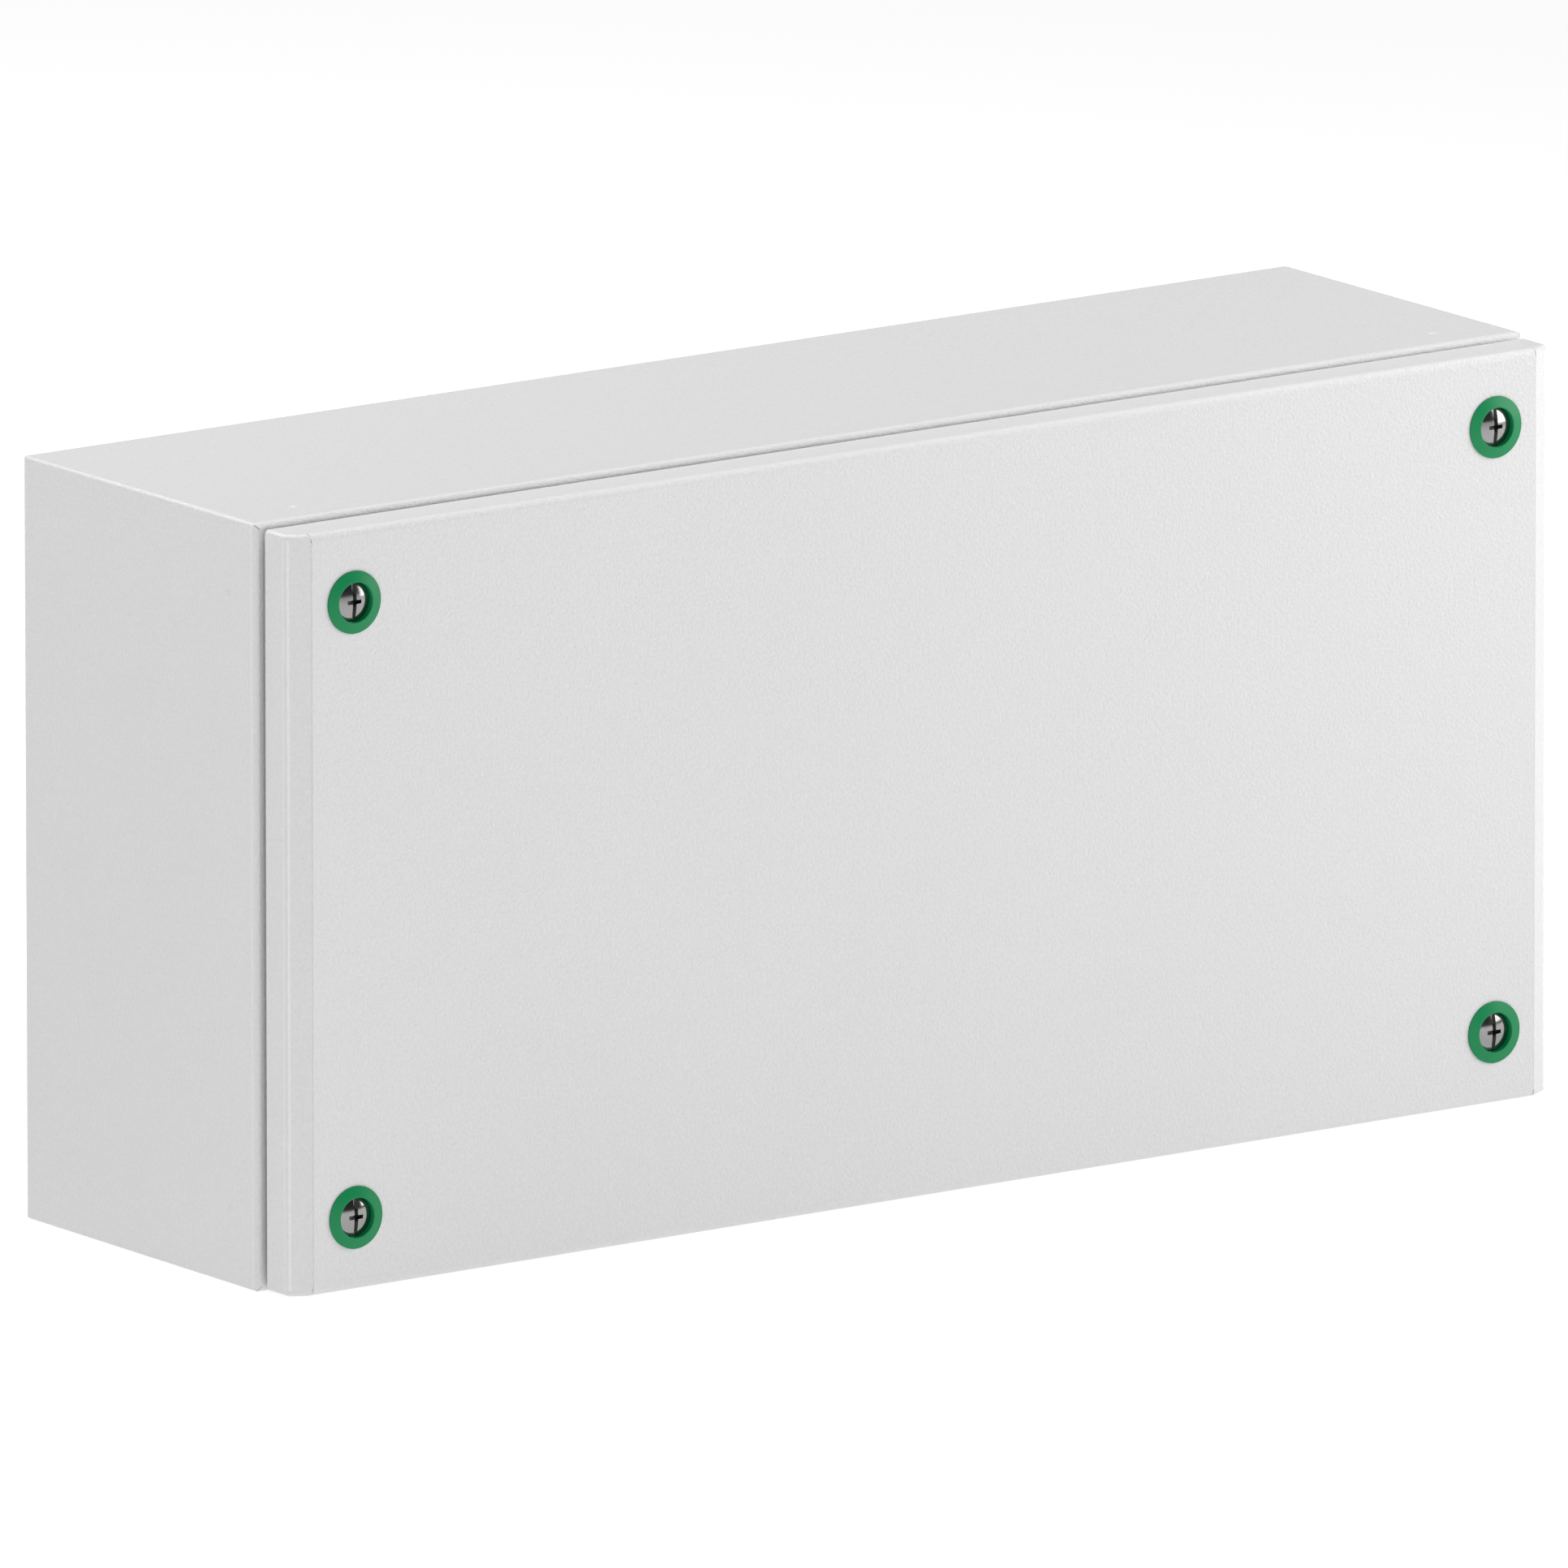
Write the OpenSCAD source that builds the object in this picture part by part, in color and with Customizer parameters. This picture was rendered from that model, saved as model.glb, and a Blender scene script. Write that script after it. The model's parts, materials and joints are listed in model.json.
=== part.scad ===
// Wall-mounting steel cabinet for a small switchboard, with a screwed lift-off cover.
// The origin is the centre of the face that lies on the wall. The front faces -Y.
// Every module draws its piece as seen from the front: x right, y up, z out of the wall.

/* [Cabinet] */
// Overall width across the side walls
cab_w = 400; // [300:1:600]
// Overall height
cab_h = 200; // [160:1:500]
// Overall depth, from the wall to the front of the screw rings
cab_d = 120; // [95:1:300]
// Sheet thickness of the body
body_t = 1.2; // [1:0.1:1.5]
// Sheet thickness of the cover
cover_t = 1.2; // [1:0.1:1.5]

/* [Body shell] */
// Outer radius of the four folds that run from back to front
edge_r = 1.4; // [1:0.1:3]
// Outer radius of the folds round the back
back_r = 2.4; // [1.8:0.1:4]
// Outer radius of the fold from the sides to the front rim
rim_r = 2; // [1.4:0.1:4]
// Inner radius of the fold from the rim to the lip
lip_fold_r = 1.2; // [0.6:0.1:2]
// Corner radius of the lip's outer face
lip_corner_r = 6; // [3:0.5:9]
// Height of the lip in front of the rim
lip_h = 8; // [5:0.1:10]
// Width of the open mitre at each corner of the rim
mitre_w = 0.5; // [0.3:0.1:1]

/* [Wall holes] */
// Diameter of the holes that fasten the cabinet to a wall
wall_hole_d = 8.5; // [5:0.1:10]
// Distance from a side wall's outer face to a wall hole's centre
wall_hole_side = 50; // [42:1:80]
// Distance from the top or bottom outer face to a wall hole's centre
wall_hole_top = 20; // [14:1:22]

/* [Cover] */
// How far the cover's edge lies inside the body's outline
cover_inset = 1; // [0:0.1:2]
// Open gap between the front rim and the cover's back edge
cover_gap = 3; // [1:0.1:5]
// Depth of the cover, from its back edge to its front face
cover_d = 12; // [10:0.1:15]
// Width of the sloping strip down the left and right edges
slope_w = 5.9; // [4:0.1:9]
// Depth of the sloping strip
slope_d = 3.4; // [2:0.1:5]
// Outer radius of the folds on each side of the sloping strip
slope_fold_r = 1.8; // [1.6:0.1:3]
// Outer radius of the folds along the top and bottom edges
cover_fold_r = 2; // [1.6:0.1:3]
// Outer radius at the cover's four corners
cover_corner_r = 1.3; // [1:0.1:3]

/* [Gasket] */
// Width of the foam strip
gasket_w = 5; // [4:0.1:7]
// Clear gap between the strip and the lip's edge
gasket_clear = 0.2; // [0.1:0.1:0.5]
// Flat margin between the strip and the sloping strip of the cover
gasket_margin = 0.8; // [0.6:0.1:2]
// Clear gap between the strip and the clips of the screw rings
gasket_ring_clear = 0.5; // [0.1:0.05:1]

/* [Cover screws] */
// Thread diameter of a cover screw
thread_d = 5; // [4:0.5:6]
// Pitch of the thread
thread_pitch = 0.8; // [0.5:0.05:1]
// Diameter of a screw's head
head_d = 10; // [8:0.1:12]
// Height of the head's straight side
head_side = 2.4; // [1.5:0.1:3]
// Height of the dome on the head
head_dome = 1.1; // [0.5:0.1:1.5]
// Diameter of the thinner neck between head and thread
neck_d = 3.9; // [3:0.1:4.5]
// Width of the slot and of the cross
slot_w = 1.15; // [0.8:0.05:1.6]
// Depth of the slot below the top of the dome
slot_depth = 1.9; // [1:0.1:2.5]
// Length of the cross's wings, tip to tip
cross_l = 4.9; // [3:0.1:6]
// Depth of the cross below the top of the dome
cross_depth = 2.6; // [1.5:0.1:3]
// Radial clearance between a thread and its bore
thread_clear = 0.05; // [0.02:0.01:0.1]

/* [Screw rings] */
// Width of a ring's flange, from its well to its outer edge
ring_flange_w = 2.95; // [2.6:0.05:5]
// How far a ring stands in front of the cover
ring_proud = 1; // [0.6:0.1:2]
// Thickness of a ring's flange at its outer edge
ring_edge = 0.4; // [0.2:0.05:0.6]
// Wall between a ring's well and the hole in the cover
ring_wall = 1; // [0.8:0.1:1.5]
// Radial clearance between a screw's head and a ring's well
head_clear = 0.2; // [0.2:0.05:0.8]
// Depth of a ring's well, from the cover's front face to the seat under the head
well_d = 3; // [2:0.1:4]
// Thickness of the seat under the head
seat_t = 3; // [2:0.1:4]
// Radial clearance between a screw's thread and the hole in the seat
seat_clear = 0.15; // [0.1:0.05:0.3]
// Radial clearance between a ring and the hole in the cover
ring_clear = 0.1; // [0.05:0.05:0.3]
// How far a ring's clip stands out behind the cover
clip_out = 0.6; // [0.3:0.1:1]

/* [Retainers] */
// Outer diameter of a screw's retainer
retainer_d = 9.4; // [8:0.1:10]
// Thickness of a retainer
retainer_t = 1; // [0.8:0.1:1.5]
// Clear gap between a retainer and the thread insert behind it
retainer_clear = 0.2; // [0.1:0.05:0.4]

/* [Corner brackets] */
// Length of a bracket along each wall
bracket_l = 34; // [28:1:40]
// Depth of a bracket, from its plate to the end of its flanges
bracket_d = 20; // [14:1:25]
// Sheet thickness of a bracket
bracket_t = 2; // [1.5:0.1:3]
// Outer radius of a bracket's folds
bracket_fold_r = 3.2; // [2.6:0.1:5]
// Side of the square relief where a bracket's two flanges meet
bracket_relief = 7; // [5:0.5:9]

/* [Thread inserts] */
// Diameter of an insert's barrel
insert_d = 7; // [6.5:0.1:8]
// Diameter of an insert's flange
insert_flange_d = 9.2; // [8.5:0.1:10]
// Thickness of an insert's flange
insert_flange_t = 0.8; // [0.5:0.1:1.2]
// Length of an insert's barrel behind the bracket
insert_l = 8; // [5:0.5:10]
// Diameter of the bulge that grips the back of the bracket
insert_bulge_d = 8.8; // [8:0.1:10]
// Length of the bulge
insert_bulge_l = 2.5; // [1.5:0.1:4]

/* [Mounting plate] */
// Distance from the side walls' outer faces to the plate
plate_side = 25; // [20:1:50]
// Distance from the top and bottom outer faces to the plate
plate_top = 30; // [26:1:60]
// Thickness of the plate
plate_t = 2; // [1.5:0.1:3]
// Corner radius of the plate
plate_corner_r = 5; // [2:0.5:8]
// Distance from the plate's edges to its studs
stud_inset = 15; // [12:1:25]
// Diameter of the plate's studs
stud_d = 6; // [4:1:8]
// How far a stud stands in front of its nut
stud_end = 2.5; // [1:0.5:6]
// Length of the spacers behind the plate
spacer_l = 10; // [6:1:25]
// Wall of the spacers
spacer_wall = 2.8; // [2:0.1:4]
// Radial clearance between a stud and what goes over it
stud_clear = 0.2; // [0.1:0.05:0.5]
// Outer diameter of the washers
washer_d = 12; // [11:0.5:18]
// Thickness of the washers
washer_t = 1.6; // [1:0.1:2]
// Width of the nuts across their flats
nut_af = 10; // [8:0.5:13]
// Height of the nuts
nut_h = 5; // [4:0.5:6.5]

/* [Mounting rail] */
// Width of the rail over its flanges
rail_w = 35; // [35:1:35]
// Width of the rail's channel, outside
rail_channel_w = 27; // [27:1:27]
// Height of the rail
rail_h = 7.5; // [7.5:0.5:15]
// Sheet thickness of the rail
rail_t = 1; // [1:0.1:1.5]
// Distance from the plate's ends to the rail
rail_end = 12; // [5:1:60]
// Length of a slot in the rail
rail_slot_l = 15; // [10:1:18]
// Width of a slot in the rail
rail_slot_w = 6.2; // [5.5:0.1:6.5]
// Distance between the centres of the slots
rail_pitch = 25; // [20:1:36]
// Diameter of the rail screws' threads
rail_screw_d = 5; // [4:0.5:5]
// Diameter of the rail screws' heads
rail_head_d = 9.5; // [8:0.1:12]
// Height of the rail screws' heads
rail_head_h = 2.6; // [2:0.1:4]

/* [Earth studs] */
// Distance from the left wall's outer face to the body's earth stud
earth_side = 13; // [12:0.5:18]
// Distance from the left wall's outer face to the cover's earth stud
cover_earth_side = 24; // [22:0.5:40]
// Height of the cover's earth stud below the middle
cover_earth_low = 35; // [0:1:45]

/* [Hidden] */
$fn = 48;

// Extra length of a cutter past the face that it cuts
over = 1;
// Smallest inner radius of a fold
tight_r = 0.3;

// Depths of the front, measured from the wall
cover_front = cab_d - ring_proud;
cover_back = cover_front - cover_d;
rim_front = cover_back - cover_gap;
lip_front = rim_front + lip_h;

// Radii of a screw ring
well_r = head_d / 2 + head_clear;
sleeve_r = well_r + ring_wall;
ring_r = well_r + ring_flange_w;
cover_hole_r = sleeve_r + ring_clear;

// Distances from the body's outer faces: gasket, then lip, then cover screw
gasket_edge = cover_inset + max(slope_w, cover_fold_r) + gasket_margin;
gutter_w = gasket_edge + (gasket_w - body_t) / 2;
screw_edge = gasket_edge + gasket_w + gasket_ring_clear + clip_out + sleeve_r;
screw_x = cab_w / 2 - screw_edge;
screw_y = cab_h / 2 - screw_edge;

// Depths along a cover screw's axis. Its travel ends with the retainer behind the ring,
// and the thread is as long as the travel, so the screw is then free of its insert.
seat_front = cover_front - well_d;
ring_back = seat_front - seat_t;
bracket_front = rim_front - body_t;
insert_front = bracket_front + insert_flange_t;
thread_front = insert_front + retainer_clear;
screw_travel = ring_back - thread_front - retainer_t - retainer_clear;
thread_back = thread_front - screw_travel;
insert_bore_r = thread_d / 2 + thread_clear;
neck_bore_r = neck_d / 2 + thread_clear;
seat_bore_r = thread_d / 2 + seat_clear;

// Plate and rail
plate_w = cab_w - 2 * plate_side;
plate_h = cab_h - 2 * plate_top;
plate_back = body_t + spacer_l;
plate_front = plate_back + plate_t;
stud_x = plate_w / 2 - stud_inset;
stud_y = plate_h / 2 - stud_inset;
stud_bore_r = stud_d / 2 + stud_clear;
rail_l = plate_w - 2 * rail_end;
rail_slots = floor((rail_l - rail_slot_l) / rail_pitch / 2) * 2;
rail_screw_x = rail_slots * rail_pitch / 2 - rail_pitch;

// Earth studs
earth_x = -cab_w / 2 + earth_side;
cover_earth_x = -cab_w / 2 + cover_earth_side;
earth_l = washer_t + nut_h + stud_end;

// Turns a piece drawn as seen from the front into the cabinet's own frame
module on_wall() {
    rotate([90, 0, 0]) children();
}

// Puts a piece drawn for the top right corner at another corner
module at_corner(side, level) {
    mirror([side < 0 ? 1 : 0, 0, 0]) mirror([0, level < 0 ? 1 : 0, 0]) children();
}

module at_four_corners(x, y) {
    for (side = [-1, 1], level = [-1, 1]) translate([side * x, level * y, 0]) children();
}

// Waste outside a round corner, whose arc is centred on the origin
module corner_waste(r, side, level) {
    difference() {
        translate([side > 0 ? 0 : -r - over, level > 0 ? 0 : -r - over]) square(r + over);
        circle(r);
    }
}

module round_rect(w, h, r) {
    difference() {
        square([w, h], center = true);
        for (side = [-1, 1], level = [-1, 1])
            translate([side * (w / 2 - r), level * (h / 2 - r)]) corner_waste(r, side, level);
    }
}

// Section of a box from back (y = 0) to front, with its own radius at the back and at the front
module box_section(w, d, r_back, r_front) {
    difference() {
        translate([-w / 2, 0]) square([w, d]);
        for (side = [-1, 1]) {
            translate([side * (w / 2 - r_back), r_back]) corner_waste(r_back, side, -1);
            translate([side * (w / 2 - r_front), d - r_front]) corner_waste(r_front, side, 1);
        }
    }
}

module folded_box(w, h, d, r_edge, r_back, r_front) {
    intersection() {
        linear_extrude(d) round_rect(w, h, r_edge);
        rotate([90, 0, 90]) linear_extrude(w, center = true) box_section(h, d, r_back, r_front);
        rotate([90, 0, 0]) linear_extrude(h, center = true) box_section(w, d, r_back, r_front);
    }
}

// Sweeps a section round a rectangle w by h, whose corners have the radius r.
// The section's x is its distance from a corner's centre, and its y is its depth.
module swept_frame(w, h, r) {
    for (side = [-1, 1], level = [-1, 1])
        at_corner(side, level) translate([w / 2 - r, h / 2 - r, 0]) rotate_extrude(angle = 90) children();
    for (turn = [0, 1, 2, 3]) {
        across = turn % 2 == 0 ? w : h;
        along = turn % 2 == 0 ? h : w;
        rotate([0, 0, 90 * turn]) translate([across / 2 - r, 0, 0])
            rotate([90, 0, 0]) linear_extrude(along - 2 * r, center = true) children();
    }
}

// Section of the lip and of the fold that joins it to the rim
module lip_section() {
    fold_x = lip_corner_r + lip_fold_r;
    fold_z = rim_front + lip_fold_r;
    translate([lip_corner_r - body_t, fold_z]) square([body_t, lip_front - fold_z]);
    intersection() {
        translate([fold_x, fold_z]) difference() {
            circle(lip_fold_r + body_t);
            circle(lip_fold_r);
        }
        translate([lip_corner_r - body_t, rim_front - body_t])
            square([lip_fold_r + body_t, lip_fold_r + body_t]);
    }
}

module body_shell() {
    lip_w = cab_w - 2 * gutter_w;
    lip_h_out = cab_h - 2 * gutter_w;
    mouth_r = lip_corner_r + lip_fold_r;
    color("gainsboro") on_wall() {
        difference() {
            folded_box(cab_w, cab_h, rim_front, edge_r, back_r, rim_r);
            translate([0, 0, body_t])
                folded_box(cab_w - 2 * body_t, cab_h - 2 * body_t, rim_front - 2 * body_t,
                    max(edge_r - body_t, tight_r), max(back_r - body_t, tight_r), max(rim_r - body_t, tight_r));
            translate([0, 0, rim_front - body_t - over]) linear_extrude(body_t + 2 * over)
                round_rect(lip_w + 2 * lip_fold_r, lip_h_out + 2 * lip_fold_r, mouth_r);
            at_four_corners(cab_w / 2 - wall_hole_side, cab_h / 2 - wall_hole_top)
                translate([0, 0, -over]) cylinder(h = body_t + 2 * over, d = wall_hole_d);
            for (side = [-1, 1], level = [-1, 1])
                translate([side * cab_w / 2, level * cab_h / 2, rim_front])
                    rotate([0, 0, 45 * side * level])
                        cube([2 * rim_r, mitre_w, 2 * body_t], center = true);
        }
        swept_frame(lip_w, lip_h_out, lip_corner_r) lip_section();
    }
}

// The plate and its two flanges are one folded sheet, with a square relief where the flanges meet
module bracket_form(inset, r) {
    l = bracket_l;
    intersection() {
        rotate([90, 0, 0]) linear_extrude(2 * (l + over), center = true) difference() {
            translate([-l - over, -bracket_d - over]) square([l + over - inset, bracket_d + over - inset]);
            translate([-inset - r, -inset - r]) corner_waste(r, 1, 1);
        }
        rotate([90, 0, 90]) linear_extrude(2 * (l + over), center = true) difference() {
            translate([-l - over, -bracket_d - over]) square([l + over - inset, bracket_d + over - inset]);
            translate([-inset - r, -inset - r]) corner_waste(r, 1, 1);
        }
    }
}

module corner_bracket(side, level) {
    color("silver") on_wall() at_corner(side, level)
        difference() {
            translate([cab_w / 2 - body_t, cab_h / 2 - body_t, bracket_front]) difference() {
                intersection() {
                    bracket_form(0, bracket_fold_r);
                    translate([-bracket_l, -bracket_l, -bracket_d]) cube([bracket_l, bracket_l, bracket_d]);
                }
                bracket_form(bracket_t, bracket_fold_r - bracket_t);
                translate([-bracket_relief, -bracket_relief, -bracket_d - over])
                    cube([2 * bracket_relief, 2 * bracket_relief, bracket_d + 2 * over]);
            }
            translate([screw_x, screw_y, bracket_front - bracket_t - over])
                cylinder(h = bracket_t + 2 * over, r = insert_d / 2 + thread_clear);
        }
}

module thread_inserts() {
    barrel_back = bracket_front - bracket_t - insert_l;
    bulge_back = bracket_front - bracket_t - insert_bulge_l;
    color("goldenrod") on_wall() at_four_corners(screw_x, screw_y) difference() {
        union() {
            translate([0, 0, bracket_front]) cylinder(h = insert_flange_t, d = insert_flange_d);
            translate([0, 0, barrel_back]) cylinder(h = bracket_front - barrel_back, d = insert_d);
            translate([0, 0, bulge_back]) cylinder(h = insert_bulge_l, d = insert_bulge_d);
        }
        translate([0, 0, barrel_back - over])
            cylinder(h = insert_front - barrel_back + 2 * over, r = insert_bore_r);
    }
}

module plate_studs() {
    stud_front = plate_front + washer_t + nut_h + stud_end;
    color("silver") on_wall() at_four_corners(stud_x, stud_y)
        translate([0, 0, body_t]) cylinder(h = stud_front - body_t, d = stud_d);
}

module plate_spacers() {
    color("silver") on_wall() at_four_corners(stud_x, stud_y)
        translate([0, 0, body_t]) difference() {
            cylinder(h = spacer_l, r = stud_bore_r + spacer_wall);
            translate([0, 0, -over]) cylinder(h = spacer_l + 2 * over, r = stud_bore_r);
        }
}

module mounting_plate() {
    color("lightgray") on_wall() translate([0, 0, plate_back]) difference() {
        linear_extrude(plate_t) round_rect(plate_w, plate_h, plate_corner_r);
        at_four_corners(stud_x, stud_y)
            translate([0, 0, -over]) cylinder(h = plate_t + 2 * over, r = stud_bore_r);
        for (side = [-1, 1]) translate([side * rail_screw_x, 0, -over])
            cylinder(h = plate_t + 2 * over, r = rail_screw_d / 2 + thread_clear);
    }
}

module washer() {
    difference() {
        cylinder(h = washer_t, d = washer_d);
        translate([0, 0, -over]) cylinder(h = washer_t + 2 * over, r = stud_bore_r);
    }
}

// Hexagon nut with its corners turned down at both ends
module nut() {
    corner_r = nut_af / 2 / cos(30);
    face_r = nut_af / 2;
    fall = (corner_r - face_r) * tan(30);
    difference() {
        intersection() {
            cylinder(h = nut_h, r = corner_r, $fn = 6);
            rotate_extrude() polygon([
                [0, 0], [face_r, 0], [corner_r, fall], [corner_r, nut_h - fall], [face_r, nut_h], [0, nut_h],
            ]);
        }
        translate([0, 0, -over]) cylinder(h = nut_h + 2 * over, r = stud_d / 2 + thread_clear);
    }
}

module plate_washers() {
    color("silver") on_wall() at_four_corners(stud_x, stud_y) translate([0, 0, plate_front]) washer();
}

module plate_nuts() {
    color("silver") on_wall() at_four_corners(stud_x, stud_y)
        translate([0, 0, plate_front + washer_t]) nut();
}

// Top-hat section, drawn from its base on the plate to its flanges in front
module rail_section() {
    for (side = [-1, 1]) {
        translate([side * (rail_channel_w - rail_t) / 2 - rail_t / 2, 0]) square([rail_t, rail_h]);
        translate([side * (rail_w + rail_channel_w) / 4 - (rail_w - rail_channel_w) / 4, rail_h - rail_t])
            square([(rail_w - rail_channel_w) / 2, rail_t]);
    }
    translate([-rail_channel_w / 2, 0]) square([rail_channel_w, rail_t]);
}

module mounting_rail() {
    color("gainsboro") on_wall() translate([0, 0, plate_front]) difference() {
        rotate([90, 0, 90]) linear_extrude(rail_l, center = true) rail_section();
        for (i = [-rail_slots / 2 : rail_slots / 2]) translate([i * rail_pitch, 0, -over])
            linear_extrude(rail_t + 2 * over) {
                square([rail_slot_l - rail_slot_w, rail_slot_w], center = true);
                for (end = [-1, 1]) translate([end * (rail_slot_l - rail_slot_w) / 2, 0])
                    circle(d = rail_slot_w);
            }
    }
}

module rail_screws() {
    color("silver") on_wall() for (side = [-1, 1]) translate([side * rail_screw_x, 0, plate_front + rail_t])
        difference() {
            union() {
                cylinder(h = rail_head_h, d = rail_head_d);
                translate([0, 0, -rail_t - plate_t - stud_end])
                    cylinder(h = rail_t + plate_t + stud_end, d = rail_screw_d);
            }
            for (turn = [0, 90]) rotate([0, 0, turn]) translate([0, 0, rail_head_h])
                cube([rail_head_d / 2, slot_w, rail_head_h], center = true);
        }
}

module earth_stud() {
    color("peru") on_wall() translate([earth_x, 0, body_t]) cylinder(h = earth_l, d = stud_d);
}

module earth_washer() {
    color("silver") on_wall() translate([earth_x, 0, body_t]) washer();
}

module earth_nut() {
    color("goldenrod") on_wall() translate([earth_x, 0, body_t + washer_t]) nut();
}

// Where a corner between two faces goes when both faces move in by the same distance
function moved_corner(p, n1, n2, inset) = p - inset * (n1 + n2) / (1 + n1 * n2);

function arc(centre, r, from, to, steps = 6) = [
    for (i = [0 : steps]) centre + r * [cos(from + (to - from) * i / steps), sin(from + (to - from) * i / steps)]
];

// Right half of the cover's section, from its back edge to its front face, moved in by inset
function slope_outline(inset) =
    let (
        w = cab_w / 2 - cover_inset,
        slope_a = 90 - atan2(slope_d, slope_w),
        side_n = [1, 0],
        slope_n = [cos(slope_a), sin(slope_a)],
        front_n = [0, 1],
        r = max(slope_fold_r - inset, tight_r),
        low = moved_corner([w, cover_front - slope_d], side_n, slope_n, inset + r),
        high = moved_corner([w - slope_w, cover_front], slope_n, front_n, inset + r)
    )
    concat(arc(low, r, 0, slope_a), arc(high, r, slope_a, 90));

// Solid form of the cover, moved in by inset, from the depth start to its front face
module cover_form(inset, start) {
    w = cab_w - 2 * cover_inset - 2 * inset;
    h = cab_h - 2 * cover_inset - 2 * inset;
    front = cover_front - inset;
    half = slope_outline(inset);
    other_half = [for (i = [len(half) - 1 : -1 : 0]) [-half[i][0], half[i][1]]];
    intersection() {
        translate([0, 0, start]) linear_extrude(front - start)
            round_rect(w, h, max(cover_corner_r - inset, tight_r));
        rotate([90, 0, 90]) linear_extrude(w, center = true) difference() {
            translate([-h / 2, start]) square([h, front - start]);
            for (side = [-1, 1]) {
                r = max(cover_fold_r - inset, tight_r);
                translate([side * (h / 2 - r), front - r]) corner_waste(r, side, 1);
            }
        }
        rotate([90, 0, 0]) linear_extrude(h, center = true)
            polygon(concat([[w / 2, start]], half, other_half, [[-w / 2, start]]));
    }
}

module cover_panel() {
    color("gainsboro") on_wall() difference() {
        cover_form(0, cover_back);
        cover_form(cover_t, cover_back - over);
        at_four_corners(screw_x, screw_y) translate([0, 0, cover_back])
            cylinder(h = cover_d + over, r = cover_hole_r);
    }
}

module cover_gasket() {
    // The strip's middle runs over the middle of the lip
    mid_r = lip_corner_r - body_t / 2;
    strip_back = lip_front + gasket_clear;
    color("dimgray") on_wall() swept_frame(cab_w - 2 * gutter_w, cab_h - 2 * gutter_w, lip_corner_r)
        translate([mid_r - gasket_w / 2, strip_back])
            square([gasket_w, cover_front - cover_t - strip_back]);
}

module screw_ring(side, level) {
    clip_front = cover_front - cover_t;
    color("seagreen") on_wall() translate([side * screw_x, level * screw_y, 0]) rotate_extrude() polygon([
        [well_r, cover_front + ring_proud],
        [well_r, seat_front],
        [seat_bore_r, seat_front],
        [seat_bore_r, ring_back],
        [sleeve_r - ring_wall / 2, ring_back],
        [sleeve_r, ring_back + ring_wall / 2],
        [sleeve_r, clip_front - clip_out - ring_wall],
        [sleeve_r + clip_out, clip_front - ring_wall / 2],
        [sleeve_r + clip_out, clip_front],
        [sleeve_r, clip_front],
        [sleeve_r, cover_front],
        [ring_r, cover_front],
        [ring_r, cover_front + ring_edge],
        [well_r + ring_edge, cover_front + ring_proud],
    ]);
}

module cover_screw(side, level) {
    edge_r = head_d / 2;
    dome_r = (edge_r * edge_r + head_dome * head_dome) / (2 * head_dome);
    head_front = seat_front + head_side + head_dome;
    dome_a = asin(edge_r / dome_r);
    tip_r = thread_d / 2 - thread_pitch / 2;
    dome = arc([0, head_front - dome_r], dome_r, 90 - dome_a, 90);
    color("silver") on_wall() translate([side * screw_x, level * screw_y, 0]) difference() {
        rotate_extrude() polygon(concat(
            [
                [0, thread_back],
                [tip_r, thread_back],
                [thread_d / 2, thread_back + thread_pitch / 2],
                [thread_d / 2, thread_front],
                [neck_d / 2, thread_front],
                [neck_d / 2, seat_front],
                [edge_r, seat_front],
            ],
            dome
        ));
        translate([-slot_w / 2, -head_d, head_front - slot_depth]) cube([slot_w, 2 * head_d, slot_depth + over]);
        for (turn = [0, 90]) rotate([0, 0, turn])
            translate([-cross_l / 2, -slot_w / 2, head_front - cross_depth])
                cube([cross_l, slot_w, cross_depth + over]);
    }
}

module screw_retainer(side, level) {
    color("white") on_wall() translate([side * screw_x, level * screw_y, thread_front]) difference() {
        cylinder(h = retainer_t, d = retainer_d);
        translate([0, 0, -over]) cylinder(h = retainer_t + 2 * over, r = neck_bore_r);
    }
}

module cover_earth_stud() {
    color("peru") on_wall() translate([cover_earth_x, -cover_earth_low, cover_front - cover_t - earth_l])
        cylinder(h = earth_l, d = stud_d);
}

module cover_earth_washer() {
    color("silver") on_wall() translate([cover_earth_x, -cover_earth_low, cover_front - cover_t - washer_t])
        washer();
}

module cover_earth_nut() {
    color("goldenrod") on_wall()
        translate([cover_earth_x, -cover_earth_low, cover_front - cover_t - washer_t - nut_h]) nut();
}

body_shell();
corner_bracket(-1, 1);  // corner_bracket_top_left
corner_bracket(1, 1);  // corner_bracket_top_right
corner_bracket(-1, -1);  // corner_bracket_bottom_left
corner_bracket(1, -1);  // corner_bracket_bottom_right
thread_inserts();
plate_studs();
plate_spacers();
mounting_plate();
plate_washers();
plate_nuts();
mounting_rail();
rail_screws();
earth_stud();
earth_washer();
earth_nut();
cover_panel();
cover_gasket();
screw_ring(-1, 1);  // screw_ring_top_left
screw_ring(1, 1);  // screw_ring_top_right
screw_ring(-1, -1);  // screw_ring_bottom_left
screw_ring(1, -1);  // screw_ring_bottom_right
cover_earth_stud();
cover_earth_washer();
cover_earth_nut();
screw_retainer(-1, 1);  // screw_retainer_top_left
screw_retainer(1, 1);  // screw_retainer_top_right
screw_retainer(-1, -1);  // screw_retainer_bottom_left
screw_retainer(1, -1);  // screw_retainer_bottom_right
cover_screw(-1, 1);  // cover_screw_top_left
cover_screw(1, 1);  // cover_screw_top_right
cover_screw(-1, -1);  // cover_screw_bottom_left
cover_screw(1, -1);  // cover_screw_bottom_right
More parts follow.
